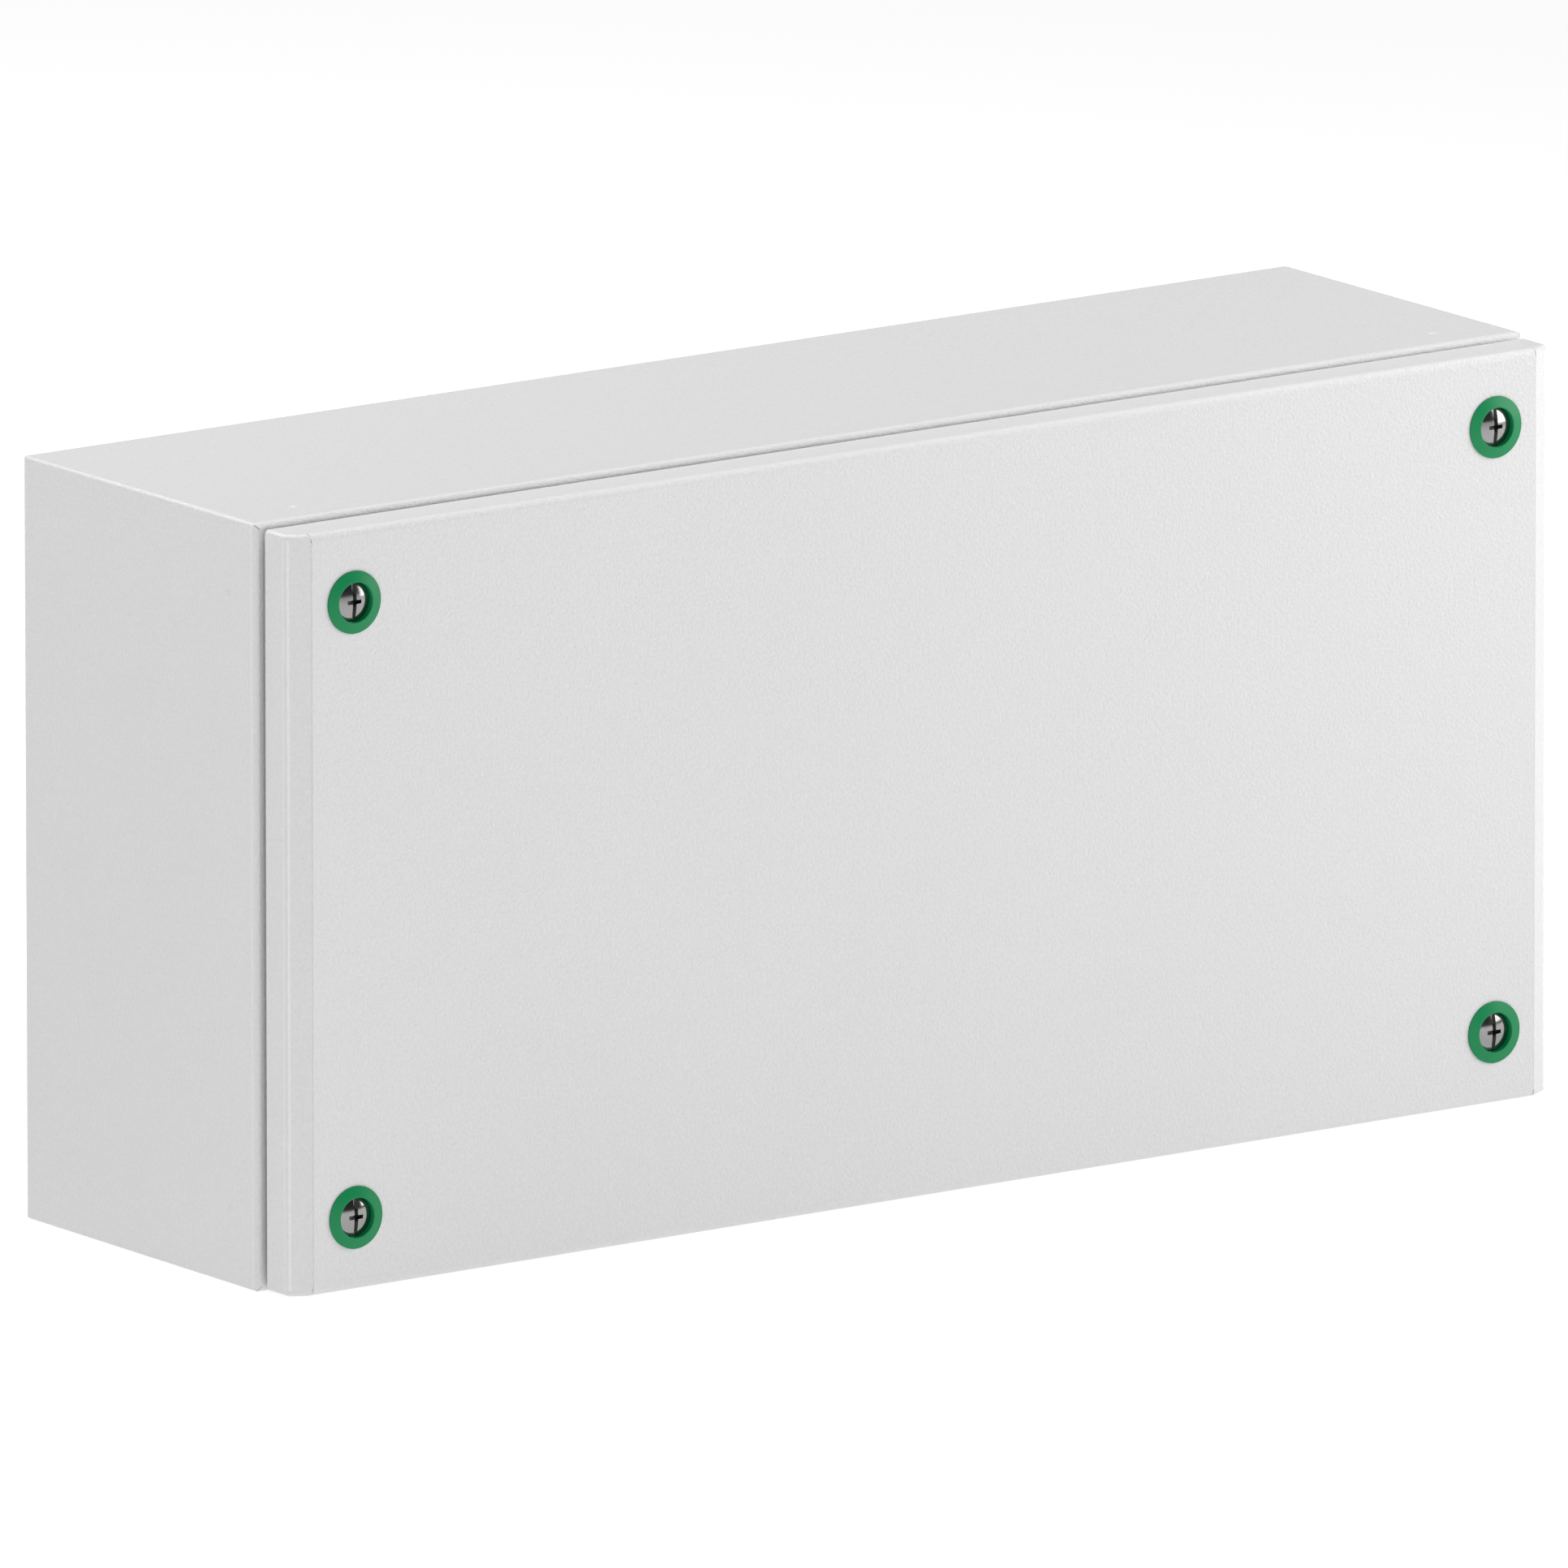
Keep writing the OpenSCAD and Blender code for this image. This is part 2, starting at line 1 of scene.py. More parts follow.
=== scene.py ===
"""Looks of a wall-mounting steel cabinet whose cover is held by four captive screws.

The cabinet's own frame sets every place: X to the right seen from the front, Z up, the front faces -Y
and the origin is the centre of the face that lies on the wall. Every size is in metres.
"""
import json
import logging
import math
from collections.abc import Callable, Iterable, Sequence
from dataclasses import dataclass, replace
from enum import Enum, IntEnum

import bmesh
import bpy
from mathutils import Matrix, Vector

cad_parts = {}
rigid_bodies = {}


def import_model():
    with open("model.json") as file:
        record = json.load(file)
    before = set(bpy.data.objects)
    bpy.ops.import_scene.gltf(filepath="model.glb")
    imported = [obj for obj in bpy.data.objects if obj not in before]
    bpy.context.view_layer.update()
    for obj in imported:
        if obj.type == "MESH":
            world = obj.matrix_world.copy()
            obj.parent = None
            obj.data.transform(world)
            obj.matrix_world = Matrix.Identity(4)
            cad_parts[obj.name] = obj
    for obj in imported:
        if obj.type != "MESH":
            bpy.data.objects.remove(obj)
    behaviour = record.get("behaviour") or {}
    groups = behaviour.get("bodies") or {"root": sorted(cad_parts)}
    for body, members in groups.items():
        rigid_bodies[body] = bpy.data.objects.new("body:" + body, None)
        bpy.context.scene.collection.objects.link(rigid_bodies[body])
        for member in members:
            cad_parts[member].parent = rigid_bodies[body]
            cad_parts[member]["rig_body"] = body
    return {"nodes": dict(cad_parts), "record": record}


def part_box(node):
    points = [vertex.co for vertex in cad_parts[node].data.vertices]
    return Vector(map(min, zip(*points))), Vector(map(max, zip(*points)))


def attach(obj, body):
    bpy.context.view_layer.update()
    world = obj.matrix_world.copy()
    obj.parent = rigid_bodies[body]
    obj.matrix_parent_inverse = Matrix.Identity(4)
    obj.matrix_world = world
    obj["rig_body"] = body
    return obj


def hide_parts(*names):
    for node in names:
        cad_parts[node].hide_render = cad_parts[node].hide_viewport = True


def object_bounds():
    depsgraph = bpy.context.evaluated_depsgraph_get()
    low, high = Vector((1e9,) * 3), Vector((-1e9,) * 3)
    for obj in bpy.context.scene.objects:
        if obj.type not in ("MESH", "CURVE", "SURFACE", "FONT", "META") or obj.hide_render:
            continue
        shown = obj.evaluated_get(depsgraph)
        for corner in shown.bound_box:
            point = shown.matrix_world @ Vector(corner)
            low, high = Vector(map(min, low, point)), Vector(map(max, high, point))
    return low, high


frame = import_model()
CAD_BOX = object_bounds()

log = logging.getLogger("cabinet")

FOLD_STEPS = 8
ROUND_STEPS = 64
FINE_STEPS = 96
THREAD_STEPS = 32
DOME_STEPS = 10
TURN = 2 * math.pi
WHITE = (1, 1, 1, 1)
# How far a cutter reaches past what it cuts.
OVER = 0.001
# The smallest radius on the inner side of a fold.
LEAST_FOLD = 0.0003
# Points closer than this are one point.
SAME = 1e-7
CLOSE = 1e-6
# Faces that meet at more than the first angle have an edge, at less than the second they are one flat.
SHARP = math.radians(35)
FLAT = math.radians(0.5)
# The depth of a thread as a share of its pitch.
THREAD_DEPTH = 0.61


class Axis(IntEnum):
    """An axis of the cabinet's frame."""

    X = 0
    Y = 1
    Z = 2


class Join(Enum):
    """How a second solid changes the first one."""

    ADD = "UNION"
    CUT = "DIFFERENCE"
    KEEP = "INTERSECT"


Pair = tuple[float, float]
Values = tuple[tuple[str, float], ...]
Shape = bmesh.types.BMesh
Edge = bmesh.types.BMEdge
Vert = bmesh.types.BMVert
Solid = bpy.types.Object
Socket = bpy.types.NodeSocket
Tree = bpy.types.NodeTree
Materials = dict[str, bpy.types.Material]

CORNERS = {"top_left": (-1, 1), "top_right": (1, 1), "bottom_left": (-1, -1), "bottom_right": (1, -1)}


# ---------------------------------------------------------------- shapes


def place(x: float, depth: float, z: float) -> Vector:
    """The point at a depth in front of the wall."""
    return Vector((x, -depth, z))


def block(low: Vector, high: Vector) -> Shape:
    """Makes a box.

    Args:
        low: One corner.
        high: The opposite corner.

    Returns:
        A bmesh of six faces.
    """
    bm = bmesh.new()
    bmesh.ops.create_cube(bm, size=1.0)
    bmesh.ops.scale(bm, vec=[abs(b - a) for a, b in zip(low, high)], verts=bm.verts)
    return move(bm, (low + high) / 2)


def move(bm: Shape, by: Vector) -> Shape:
    """Moves a shape and returns it."""
    bmesh.ops.translate(bm, vec=by, verts=bm.verts)
    return bm


def turn(bm: Shape, angle: float, axis: Axis) -> Shape:
    """Turns a shape about an axis and returns it."""
    bmesh.ops.rotate(bm, verts=bm.verts, matrix=Matrix.Rotation(angle, 3, axis.name))
    return bm


def edges_along(bm: Shape, axis: Axis, keep: Callable[[Vector], bool] = lambda middle: True) -> list[Edge]:
    """Finds the straight edges that run along an axis.

    Args:
        bm: The shape.
        axis: The axis that the edges run along.
        keep: Says from its middle whether an edge counts.

    Returns:
        The edges.
    """
    found = []
    for edge in bm.edges:
        a, b = (v.co for v in edge.verts)
        run = b - a
        if abs(run[axis]) > 0.999 * run.length and keep((a + b) / 2):
            found.append(edge)
    return found


def round_edges(
    bm: Shape, edges: Iterable[Edge], radius: float, steps: int = FOLD_STEPS, clamp: bool = False
) -> None:
    """Rounds edges to a radius.

    Args:
        bm: The shape.
        edges: The edges to round.
        radius: The radius across a square edge.
        steps: The number of strips across each round edge.
        clamp: Whether the radius gives way where two edges would meet.
    """
    bmesh.ops.bevel(
        bm, geom=list(edges), offset=radius, offset_type="OFFSET", segments=steps, profile=0.5,
        affect="EDGES", material=-1, clamp_overlap=clamp,
    )


def fold_edges(bm: Shape, edges: Iterable[Edge], radius: float) -> None:
    """Rounds edges of any angle to the outer radius of a fold, one by one.

    Args:
        bm: The shape.
        edges: The edges to round.
        radius: The outer radius of the fold.
    """
    for edge in list(edges):
        bend = edge.calc_face_angle()
        round_edges(bm, [edge], radius * math.tan(bend / 2))


def cut_off(bm: Shape, at: Vector, out: Sequence[float]) -> None:
    """Cuts away what lies beyond a plane and closes the cut.

    Args:
        bm: The shape.
        at: A point on the plane.
        out: The direction of what goes.
    """
    cut = bmesh.ops.bisect_plane(
        bm, geom=bm.verts[:] + bm.edges[:] + bm.faces[:], dist=SAME, plane_co=at, plane_no=out,
        clear_outer=True, clear_inner=False,
    )["geom_cut"]
    bmesh.ops.holes_fill(bm, edges=[g for g in cut if isinstance(g, Edge)], sides=0)


def turned(profile: Sequence[Pair], at: Vector, steps: int = ROUND_STEPS) -> Shape:
    """Turns a profile round the line that runs out of the wall through a point.

    Args:
        profile: Pairs of radius and depth. It is closed unless both ends lie on the axis.
        at: A point on the axis.
        steps: The number of strips round the axis.

    Returns:
        A closed solid.
    """
    bm = bmesh.new()
    verts = [bm.verts.new(place(at.x + r, d, at.z)) for r, d in profile]
    pairs = list(zip(verts, verts[1:]))
    if profile[0][0] > 0:
        pairs.append((verts[-1], verts[0]))
    edges = [bm.edges.new(pair) for pair in pairs]
    bmesh.ops.spin(
        bm, geom=verts + edges, cent=at, axis=(0, 1, 0), dvec=(0, 0, 0), angle=TURN, steps=steps,
        use_merge=True, use_duplicate=False,
    )
    bmesh.ops.remove_doubles(bm, verts=bm.verts, dist=SAME)
    bmesh.ops.recalc_face_normals(bm, faces=bm.faces)
    return bm


def arc(centre: Pair, radius: float, start: float, end: float, steps: int = FOLD_STEPS) -> list[Pair]:
    """Lists points along an arc.

    Args:
        centre: The arc's centre.
        radius: The arc's radius.
        start: The angle of the first point, in degrees.
        end: The angle of the last point, in degrees.
        steps: The number of steps between them.

    Returns:
        The points in order.
    """
    angles = [math.radians(start + (end - start) * i / steps) for i in range(steps + 1)]
    return [(centre[0] + radius * math.cos(a), centre[1] + radius * math.sin(a)) for a in angles]


def swept(section: Sequence[Pair], width: float, height: float, radius: float) -> Shape:
    """Sweeps a closed section round a rectangle with round corners.

    Args:
        section: Pairs of distance from a corner's centre and depth.
        width: The rectangle's width, measured at the corner radius.
        height: The rectangle's height, measured the same way.
        radius: The corner radius.

    Returns:
        A closed ring.
    """
    bm = bmesh.new()
    half_w, half_h = width / 2 - radius, height / 2 - radius
    verts = [bm.verts.new(place(half_w + r, d, -half_h)) for r, d in section]
    edges = [bm.edges.new(pair) for pair in zip(verts, verts[1:] + verts[:1])]
    centres = [place(sx * half_w, 0, sz * half_h) for sx, sz in ((1, 1), (-1, 1), (-1, -1), (1, -1))]
    for i, centre in enumerate(centres):
        out = bmesh.ops.extrude_edge_only(bm, edges=edges)["geom"]
        ahead = [g for g in out if isinstance(g, Vert)]
        edges = [g for g in out if isinstance(g, Edge) and all(v in ahead for v in g.verts)]
        bmesh.ops.translate(bm, vec=centre - centres[i - 1], verts=ahead)
        out = bmesh.ops.spin(
            bm, geom=ahead + edges, cent=centre, axis=(0, -1, 0), dvec=(0, 0, 0), angle=TURN / 4,
            steps=FOLD_STEPS, use_merge=False, use_duplicate=False,
        )["geom_last"]
        edges = [g for g in out if isinstance(g, Edge)]
    bmesh.ops.remove_doubles(bm, verts=bm.verts, dist=CLOSE)
    bmesh.ops.recalc_face_normals(bm, faces=bm.faces)
    return bm


def threaded(radius: float, pitch: float, back: float, front: float, at: Vector) -> Shape:
    """Makes a rod with a real thread.

    Args:
        radius: The outer radius of the thread.
        pitch: The advance in one turn.
        back: The depth of the rear end.
        front: The depth of the front end.
        at: A point on the axis.

    Returns:
        A closed solid.
    """
    bm = bmesh.new()
    root = radius - THREAD_DEPTH * pitch
    start = back - 2 * pitch
    outline = [(root, 0.06), (radius, 0.44), (radius, 0.56), (root, 0.94), (root, 1.06)]
    verts = [bm.verts.new(place(at.x + r, start + share * pitch, at.z)) for r, share in outline]
    edges = [bm.edges.new(pair) for pair in zip(verts, verts[1:])]
    turns = math.ceil((front - start) / pitch) + 2
    bmesh.ops.spin(
        bm, geom=verts + edges, cent=at, axis=(0, -1, 0), dvec=(0, -pitch / THREAD_STEPS, 0),
        angle=TURN * turns, steps=THREAD_STEPS * turns, use_merge=False, use_duplicate=False,
    )
    bmesh.ops.remove_doubles(bm, verts=bm.verts, dist=CLOSE)
    for depth, side in ((back, 1), (front, -1)):
        bmesh.ops.bisect_plane(
            bm, geom=bm.verts[:] + bm.edges[:] + bm.faces[:], dist=SAME, plane_co=place(0, depth, 0),
            plane_no=(0, side, 0), clear_outer=True, clear_inner=False,
        )
        rim = [e for e in bm.edges if e.is_boundary and all(abs(v.co.y + depth) < CLOSE for v in e.verts)]
        bmesh.ops.holes_fill(bm, edges=rim, sides=0)
    bmesh.ops.recalc_face_normals(bm, faces=bm.faces)
    return bm


def pins(radius: float, rear: float, fore: float, x: float, z: float) -> Shape:
    """Makes a plain pin at each corner of a rectangle.

    Args:
        radius: The pins' radius.
        rear: The depth of their rear ends.
        fore: The depth of their front ends.
        x: Their distance from the middle.
        z: Their height above the middle.

    Returns:
        Four cylinders in one bmesh.
    """
    profile = [(0, rear), (radius, rear), (radius, fore), (0, fore)]
    return merged(*(turned(profile, place(sx * x, 0, sz * z)) for sx, sz in CORNERS.values()))


def piece(bm: Shape, name: str) -> Solid:
    """Puts a shape into the scene.

    Args:
        bm: The shape, which is freed.
        name: The object's name.

    Returns:
        An object at the origin, with its place in its mesh.
    """
    mesh = bpy.data.meshes.new(name)
    bm.to_mesh(mesh)
    bm.free()
    obj = bpy.data.objects.new(name, mesh)
    bpy.context.scene.collection.objects.link(obj)
    return obj


def taken(obj: Solid) -> Shape:
    """Takes an object's shape out of the scene.

    Args:
        obj: The object, which is deleted.

    Returns:
        Its shape.
    """
    bm = bmesh.new()
    bm.from_mesh(obj.data)
    bpy.data.objects.remove(obj)
    return bm


def join(solid: Solid, how: Join, *tools: Shape) -> None:
    """Adds, cuts or keeps what other solids cover, and bakes the result into the mesh.

    Args:
        solid: The object that changes.
        how: What the other solids do to it.
        tools: The other solids, which don't overlap each other unless they are used one by one.
    """
    for bm in tools:
        other = piece(bm, "tool")
        step = solid.modifiers.new("join", "BOOLEAN")
        step.operation = how.value
        step.solver = "EXACT"
        step.object = other
        bake(solid)
        bpy.data.objects.remove(other)


def bake(obj: Solid) -> None:
    """Turns an object's modifiers into its mesh.

    Args:
        obj: The object.
    """
    bpy.context.view_layer.update()
    done = bpy.data.meshes.new_from_object(obj.evaluated_get(bpy.context.evaluated_depsgraph_get()))
    obj.modifiers.clear()
    obj.data = done


def merged(*parts: Shape) -> Shape:
    """Puts several separate shapes into one bmesh.

    Args:
        parts: The shapes, which are freed.

    Returns:
        The bmesh that holds them all.
    """
    whole = bmesh.new()
    for part in parts:
        mesh = bpy.data.meshes.new("part")
        part.to_mesh(mesh)
        part.free()
        whole.from_mesh(mesh)
        bpy.data.meshes.remove(mesh)
    return whole


def finish_edges(obj: Solid, radius: float, steps: int = 2) -> None:
    """Rounds an object's sharp edges, smooths its folds and keeps its flats flat.

    Args:
        obj: The object.
        radius: The width of the rounding, or 0 to leave the edges as they are.
        steps: The number of strips across it.
    """
    if radius:
        edge = obj.modifiers.new("edges", "BEVEL")
        edge.limit_method = "ANGLE"
        edge.angle_limit = SHARP
        edge.width = radius
        edge.segments = steps
        edge.use_clamp_overlap = True
        bake(obj)
    for face in obj.data.polygons:
        face.use_smooth = True
    obj.data.set_sharp_from_angle(angle=SHARP)
    flats = obj.modifiers.new("flats", "WEIGHTED_NORMAL")
    flats.mode = "FACE_AREA"
    flats.weight = 50
    flats.keep_sharp = True


def moved_copy(obj: Solid, name: str, by: Vector) -> Solid:
    """Copies an object with its modifiers and moves the copy's mesh.

    Args:
        obj: The object to copy.
        name: The copy's name.
        by: How far the copy lies from it.

    Returns:
        The copy, at the origin.
    """
    twin = obj.copy()
    twin.name = name
    twin.data = obj.data.copy()
    twin.data.transform(Matrix.Translation(by))
    bpy.context.scene.collection.objects.link(twin)
    return twin


def show(obj: Solid, body: str, slot: str, finish: bpy.types.Material, *nodes: str) -> None:
    """Gives a piece its finish and its body, and lets it stand for CAD nodes.

    Args:
        obj: The piece.
        body: The body that it moves with.
        slot: The material slot of the record. It is not used.
        finish: Its material.
        nodes: The CAD nodes that it stands for.
    """
    obj.data.materials.clear()
    obj.data.materials.append(finish)
    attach(obj, body)
    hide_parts(*nodes)
    log.info("%s: %d faces, on %s, for %s", obj.name, len(obj.data.polygons), body, ", ".join(nodes))


# ---------------------------------------------------------------- shader groups


def group(name: str, inputs: dict[str, float]) -> tuple[Callable, bpy.types.NodeOutputs, Socket]:
    """Starts a shader node group.

    Args:
        name: The group's name.
        inputs: The names and usual values of its number inputs.

    Returns:
        A function that adds a node to it with its input values, the sockets of its inputs, and the socket of
        the object coordinates.
    """
    tree = bpy.data.node_groups.new(name, "ShaderNodeTree")
    for key, value in inputs.items():
        socket = tree.interface.new_socket(name=key, in_out="INPUT", socket_type="NodeSocketFloat")
        socket.default_value = value
    given = tree.nodes.new("NodeGroupInput").outputs
    at = add_node(tree, "TexCoord").outputs["Object"]
    return (lambda kind, **values: add_node(tree, kind, **values)), given, at


def close_group(**outputs: Socket) -> Tree:
    """Gives a group its number outputs.

    Args:
        outputs: The socket that feeds each output.

    Returns:
        The group.
    """
    tree = next(iter(outputs.values())).id_data
    for key in outputs:
        tree.interface.new_socket(name=key, in_out="OUTPUT", socket_type="NodeSocketFloat")
    out = tree.nodes.new("NodeGroupOutput")
    for key, socket in outputs.items():
        tree.links.new(socket, out.inputs[key])
    return tree


def spread(add: Callable, value: Socket, low: float, high: float, by: Socket, reach: float = 1.0) -> Socket:
    """Stretches a noise value evenly to both sides of zero and scales it.

    Args:
        add: The function that adds a node to the group.
        value: The noise value.
        low: The value that becomes -reach.
        high: The value that becomes +reach.
        by: The socket that it is multiplied by.
        reach: The largest value before it is multiplied.

    Returns:
        The socket of the result.
    """
    span = add("MapRange", Value=value, From_Min=low, From_Max=high, To_Min=-reach, To_Max=reach)
    return add("Math", operation="MULTIPLY", i0=span.outputs["Result"], i1=by).outputs[0]


def add_node(tree: Tree, kind: str, **values: object) -> bpy.types.Node:
    """Adds a node and sets its properties, input values and links.

    Args:
        tree: The material's or group's tree.
        kind: The node's type, without its ShaderNode prefix.
        values: Properties by their own name, inputs by their name with underscores for spaces or by i and
            their number. A socket is linked.

    Returns:
        The node.
    """
    node = tree.nodes.new("ShaderNode" + kind)
    late = {}
    for key, value in values.items():
        if hasattr(node, key):
            setattr(node, key, value)
        else:
            late[key] = value
    for key, value in late.items():
        by_number = key[0] == "i" and key[1:].isdigit()
        socket = node.inputs[int(key[1:]) if by_number else key.replace("_", " ")]
        if isinstance(value, Socket):
            tree.links.new(value, socket)
        else:
            socket.default_value = value
    return node


def add_group(tree: Tree, source: Tree, values: Values) -> bpy.types.Node:
    """Adds a group to a material.

    Args:
        tree: The material's tree.
        source: The group.
        values: The group's input values.

    Returns:
        The group's node.
    """
    node = add_node(tree, "Group", node_tree=source)
    for key, value in values:
        node.inputs[key].default_value = value
    return node


def grain_group() -> Tree:
    """Builds the fine skin of a powder coat or a moulded face: soft lumps and finer pits.

    Returns:
        A group with Scale, Pits and Tone inputs and Height and Tone outputs.
    """
    add, given, at = group("fine_grain", {"Scale": 900.0, "Pits": 0.35, "Tone": 0.03})
    lumps = add("TexNoise", Vector=at, Scale=given["Scale"], Detail=2.0, Roughness=0.55)
    finer = add("Math", operation="MULTIPLY", i0=given["Scale"], i1=2.7)
    pits = add("TexNoise", Vector=at, Scale=finer.outputs[0], Detail=1.0, Roughness=0.5)
    less = add("Math", operation="MULTIPLY", i0=pits.outputs["Fac"], i1=given["Pits"])
    height = add("Math", operation="ADD", i0=lumps.outputs["Fac"], i1=less.outputs[0])
    tone = spread(add, lumps.outputs["Fac"], 0.3, 0.7, given["Tone"])
    return close_group(Height=height.outputs[0], Tone=tone)


def dust_group() -> Tree:
    """Builds slow patches of handling marks and settled dust.

    Returns:
        A group with Scale and Amount inputs and a Mask output.
    """
    add, given, at = group("handling_dust", {"Scale": 14.0, "Amount": 0.05})
    cloud = add("TexNoise", Vector=at, Scale=given["Scale"], Detail=4.0, Roughness=0.62, Distortion=0.4)
    return close_group(Mask=spread(add, cloud.outputs["Fac"], 0.35, 0.7, given["Amount"], 0.5))


def drawn_group() -> Tree:
    """Builds the drawn or brushed streaks of a metal, long one way and fine across.

    Returns:
        A group with Along, Across, Rise and Tone inputs and Height and Tone outputs.
    """
    add, given, at = group("drawn_streaks", {"Along": 60.0, "Across": 3000.0, "Rise": 3000.0, "Tone": 0.05})
    sizes = add("CombineXYZ", X=given["Along"], Y=given["Across"], Z=given["Rise"])
    long = add("VectorMath", operation="MULTIPLY", i0=at, i1=sizes.outputs[0])
    streak = add("TexNoise", Vector=long.outputs[0], Scale=1.0, Detail=3.0, Roughness=0.6).outputs["Fac"]
    return close_group(Height=streak, Tone=spread(add, streak, 0.3, 0.7, given["Tone"]))


def spangle_group() -> Tree:
    """Builds the crystal patches of hot-dip zinc.

    Returns:
        A group with Scale and Tone inputs and Height and Tone outputs.
    """
    add, given, at = group("zinc_spangle", {"Scale": 160.0, "Tone": 0.08})
    bend = add("TexNoise", Vector=at, Scale=90.0, Detail=2.0)
    swirl = add("VectorMath", operation="SCALE", i0=bend.outputs["Color"], Scale=0.006)
    warped = add("VectorMath", operation="ADD", i0=at, i1=swirl.outputs[0])
    cells = add("TexVoronoi", Vector=warped.outputs[0], Scale=given["Scale"])
    split = add("SeparateColor", Color=cells.outputs["Color"])
    tone = spread(add, split.outputs[0], 0.0, 1.0, given["Tone"])
    return close_group(Height=cells.outputs["Distance"], Tone=tone)


def crease_group() -> Tree:
    """Builds painted highlight lines and a painted shade line beside the folds: fine upright lines of lighter
    and darker colour that stand in for the light and shade along a fold.

    Returns:
        A group with a Tone output. First and Second are the depths of the painted highlight lines, Across is
        the place of a painted shade line and Reach the height that they end at. Light and Dark are their
        strengths, and Width is half their width.
    """
    places = {"First": 0.1, "Second": 0.1, "Across": 1.0, "Reach": 1.0}
    add, given, at = group("crease_lines", places | {"Light": 0.1, "Dark": 0.1, "Width": 0.0003})
    parts = add("SeparateXYZ", Vector=at)
    sizes = {axis: add("Math", operation="ABSOLUTE", i0=parts.outputs[axis]).outputs[0] for axis in "XYZ"}
    masks = {}
    for key, axis in (("First", "Y"), ("Second", "Y"), ("Across", "X")):
        off = add("Math", operation="SUBTRACT", i0=sizes[axis], i1=given[key])
        far = add("Math", operation="ABSOLUTE", i0=off.outputs[0])
        masks[key] = add(
            "MapRange", interpolation_type="SMOOTHSTEP", Value=far.outputs[0], From_Min=0.0,
            From_Max=given["Width"], To_Min=1.0, To_Max=0.0,
        ).outputs["Result"]
    painted_lines = add("Math", operation="ADD", i0=masks["First"], i1=masks["Second"])
    light = add("Math", operation="MULTIPLY", i0=painted_lines.outputs[0], i1=given["Light"])
    dark = add("Math", operation="MULTIPLY", i0=masks["Across"], i1=given["Dark"])
    both = add("Math", operation="SUBTRACT", i0=light.outputs[0], i1=dark.outputs[0])
    within = add("Math", operation="LESS_THAN", i0=sizes["Z"], i1=given["Reach"])
    tone = add("Math", operation="MULTIPLY", i0=both.outputs[0], i1=within.outputs[0])
    return close_group(Tone=tone.outputs[0])


class Texture(Enum):
    """The fine texture of a finish."""

    GRAIN = "fine_grain"
    DRAWN = "drawn_streaks"
    SPANGLE = "zinc_spangle"


GROUPS = {Texture.GRAIN: grain_group(), Texture.DRAWN: drawn_group(), Texture.SPANGLE: spangle_group()}
DUST = dust_group()
# Painted highlight and shade lines beside the folds.
PAINTED_FOLD_LIGHTS = crease_group()


@dataclass(frozen=True)
class Finish:
    """A surface finish.

    Attributes:
        name: The material's name.
        color: The linear base colour.
        roughness: The mean roughness.
        metallic: 1 for bare metal, 0 for paint, plastic and foam.
        texture: The fine texture.
        sizes: The texture's own input values.
        bump: How deep the texture is, in metres.
        bump_strength: The share of that depth that shows.
        dust: How much handling marks change colour and roughness.
        specular: The level of the plain reflection.
        creases: The input values of the painted highlight and shade lines beside its folds, if it has any.
    """

    name: str
    color: tuple[float, float, float]
    roughness: float
    metallic: float = 0.0
    texture: Texture = Texture.GRAIN
    sizes: Values = ()
    bump: float = 0.00002
    bump_strength: float = 0.5
    dust: float = 0.04
    specular: float = 0.5
    creases: Values = ()

    def make(self) -> bpy.types.Material:
        """Builds the material.

        Returns:
            A node material that reads object coordinates.
        """
        material = bpy.data.materials.new(self.name)
        material.use_nodes = True
        tree = material.node_tree
        shader = tree.nodes["Principled BSDF"]
        fine = add_group(tree, GROUPS[self.texture], self.sizes)
        dust = add_group(tree, DUST, (("Amount", self.dust),))
        shift = add_node(tree, "Math", operation="ADD", i0=fine.outputs["Tone"], i1=dust.outputs["Mask"])
        tone = shift
        # Painted highlight and shade lines beside the folds are added to the colour here.
        if self.creases:
            painted_lines = add_group(tree, PAINTED_FOLD_LIGHTS, self.creases)
            tone = add_node(tree, "Math", operation="ADD", i0=shift.outputs[0], i1=painted_lines.outputs["Tone"])
        value = add_node(tree, "Math", operation="ADD", i0=tone.outputs[0], i1=1.0)
        shade = add_node(tree, "HueSaturation", Value=value.outputs[0], Color=(*self.color, 1.0))
        rough = add_node(
            tree, "Math", operation="SUBTRACT", i0=self.roughness, i1=shift.outputs[0], use_clamp=True
        )
        bump = add_node(
            tree, "Bump", Height=fine.outputs["Height"], Distance=self.bump, Strength=self.bump_strength
        )
        for key, node in (("Base Color", shade), ("Roughness", rough), ("Normal", bump)):
            tree.links.new(node.outputs[0], shader.inputs[key])
        shader.inputs["Metallic"].default_value = self.metallic
        shader.inputs["Specular IOR Level"].default_value = self.specular
        return material
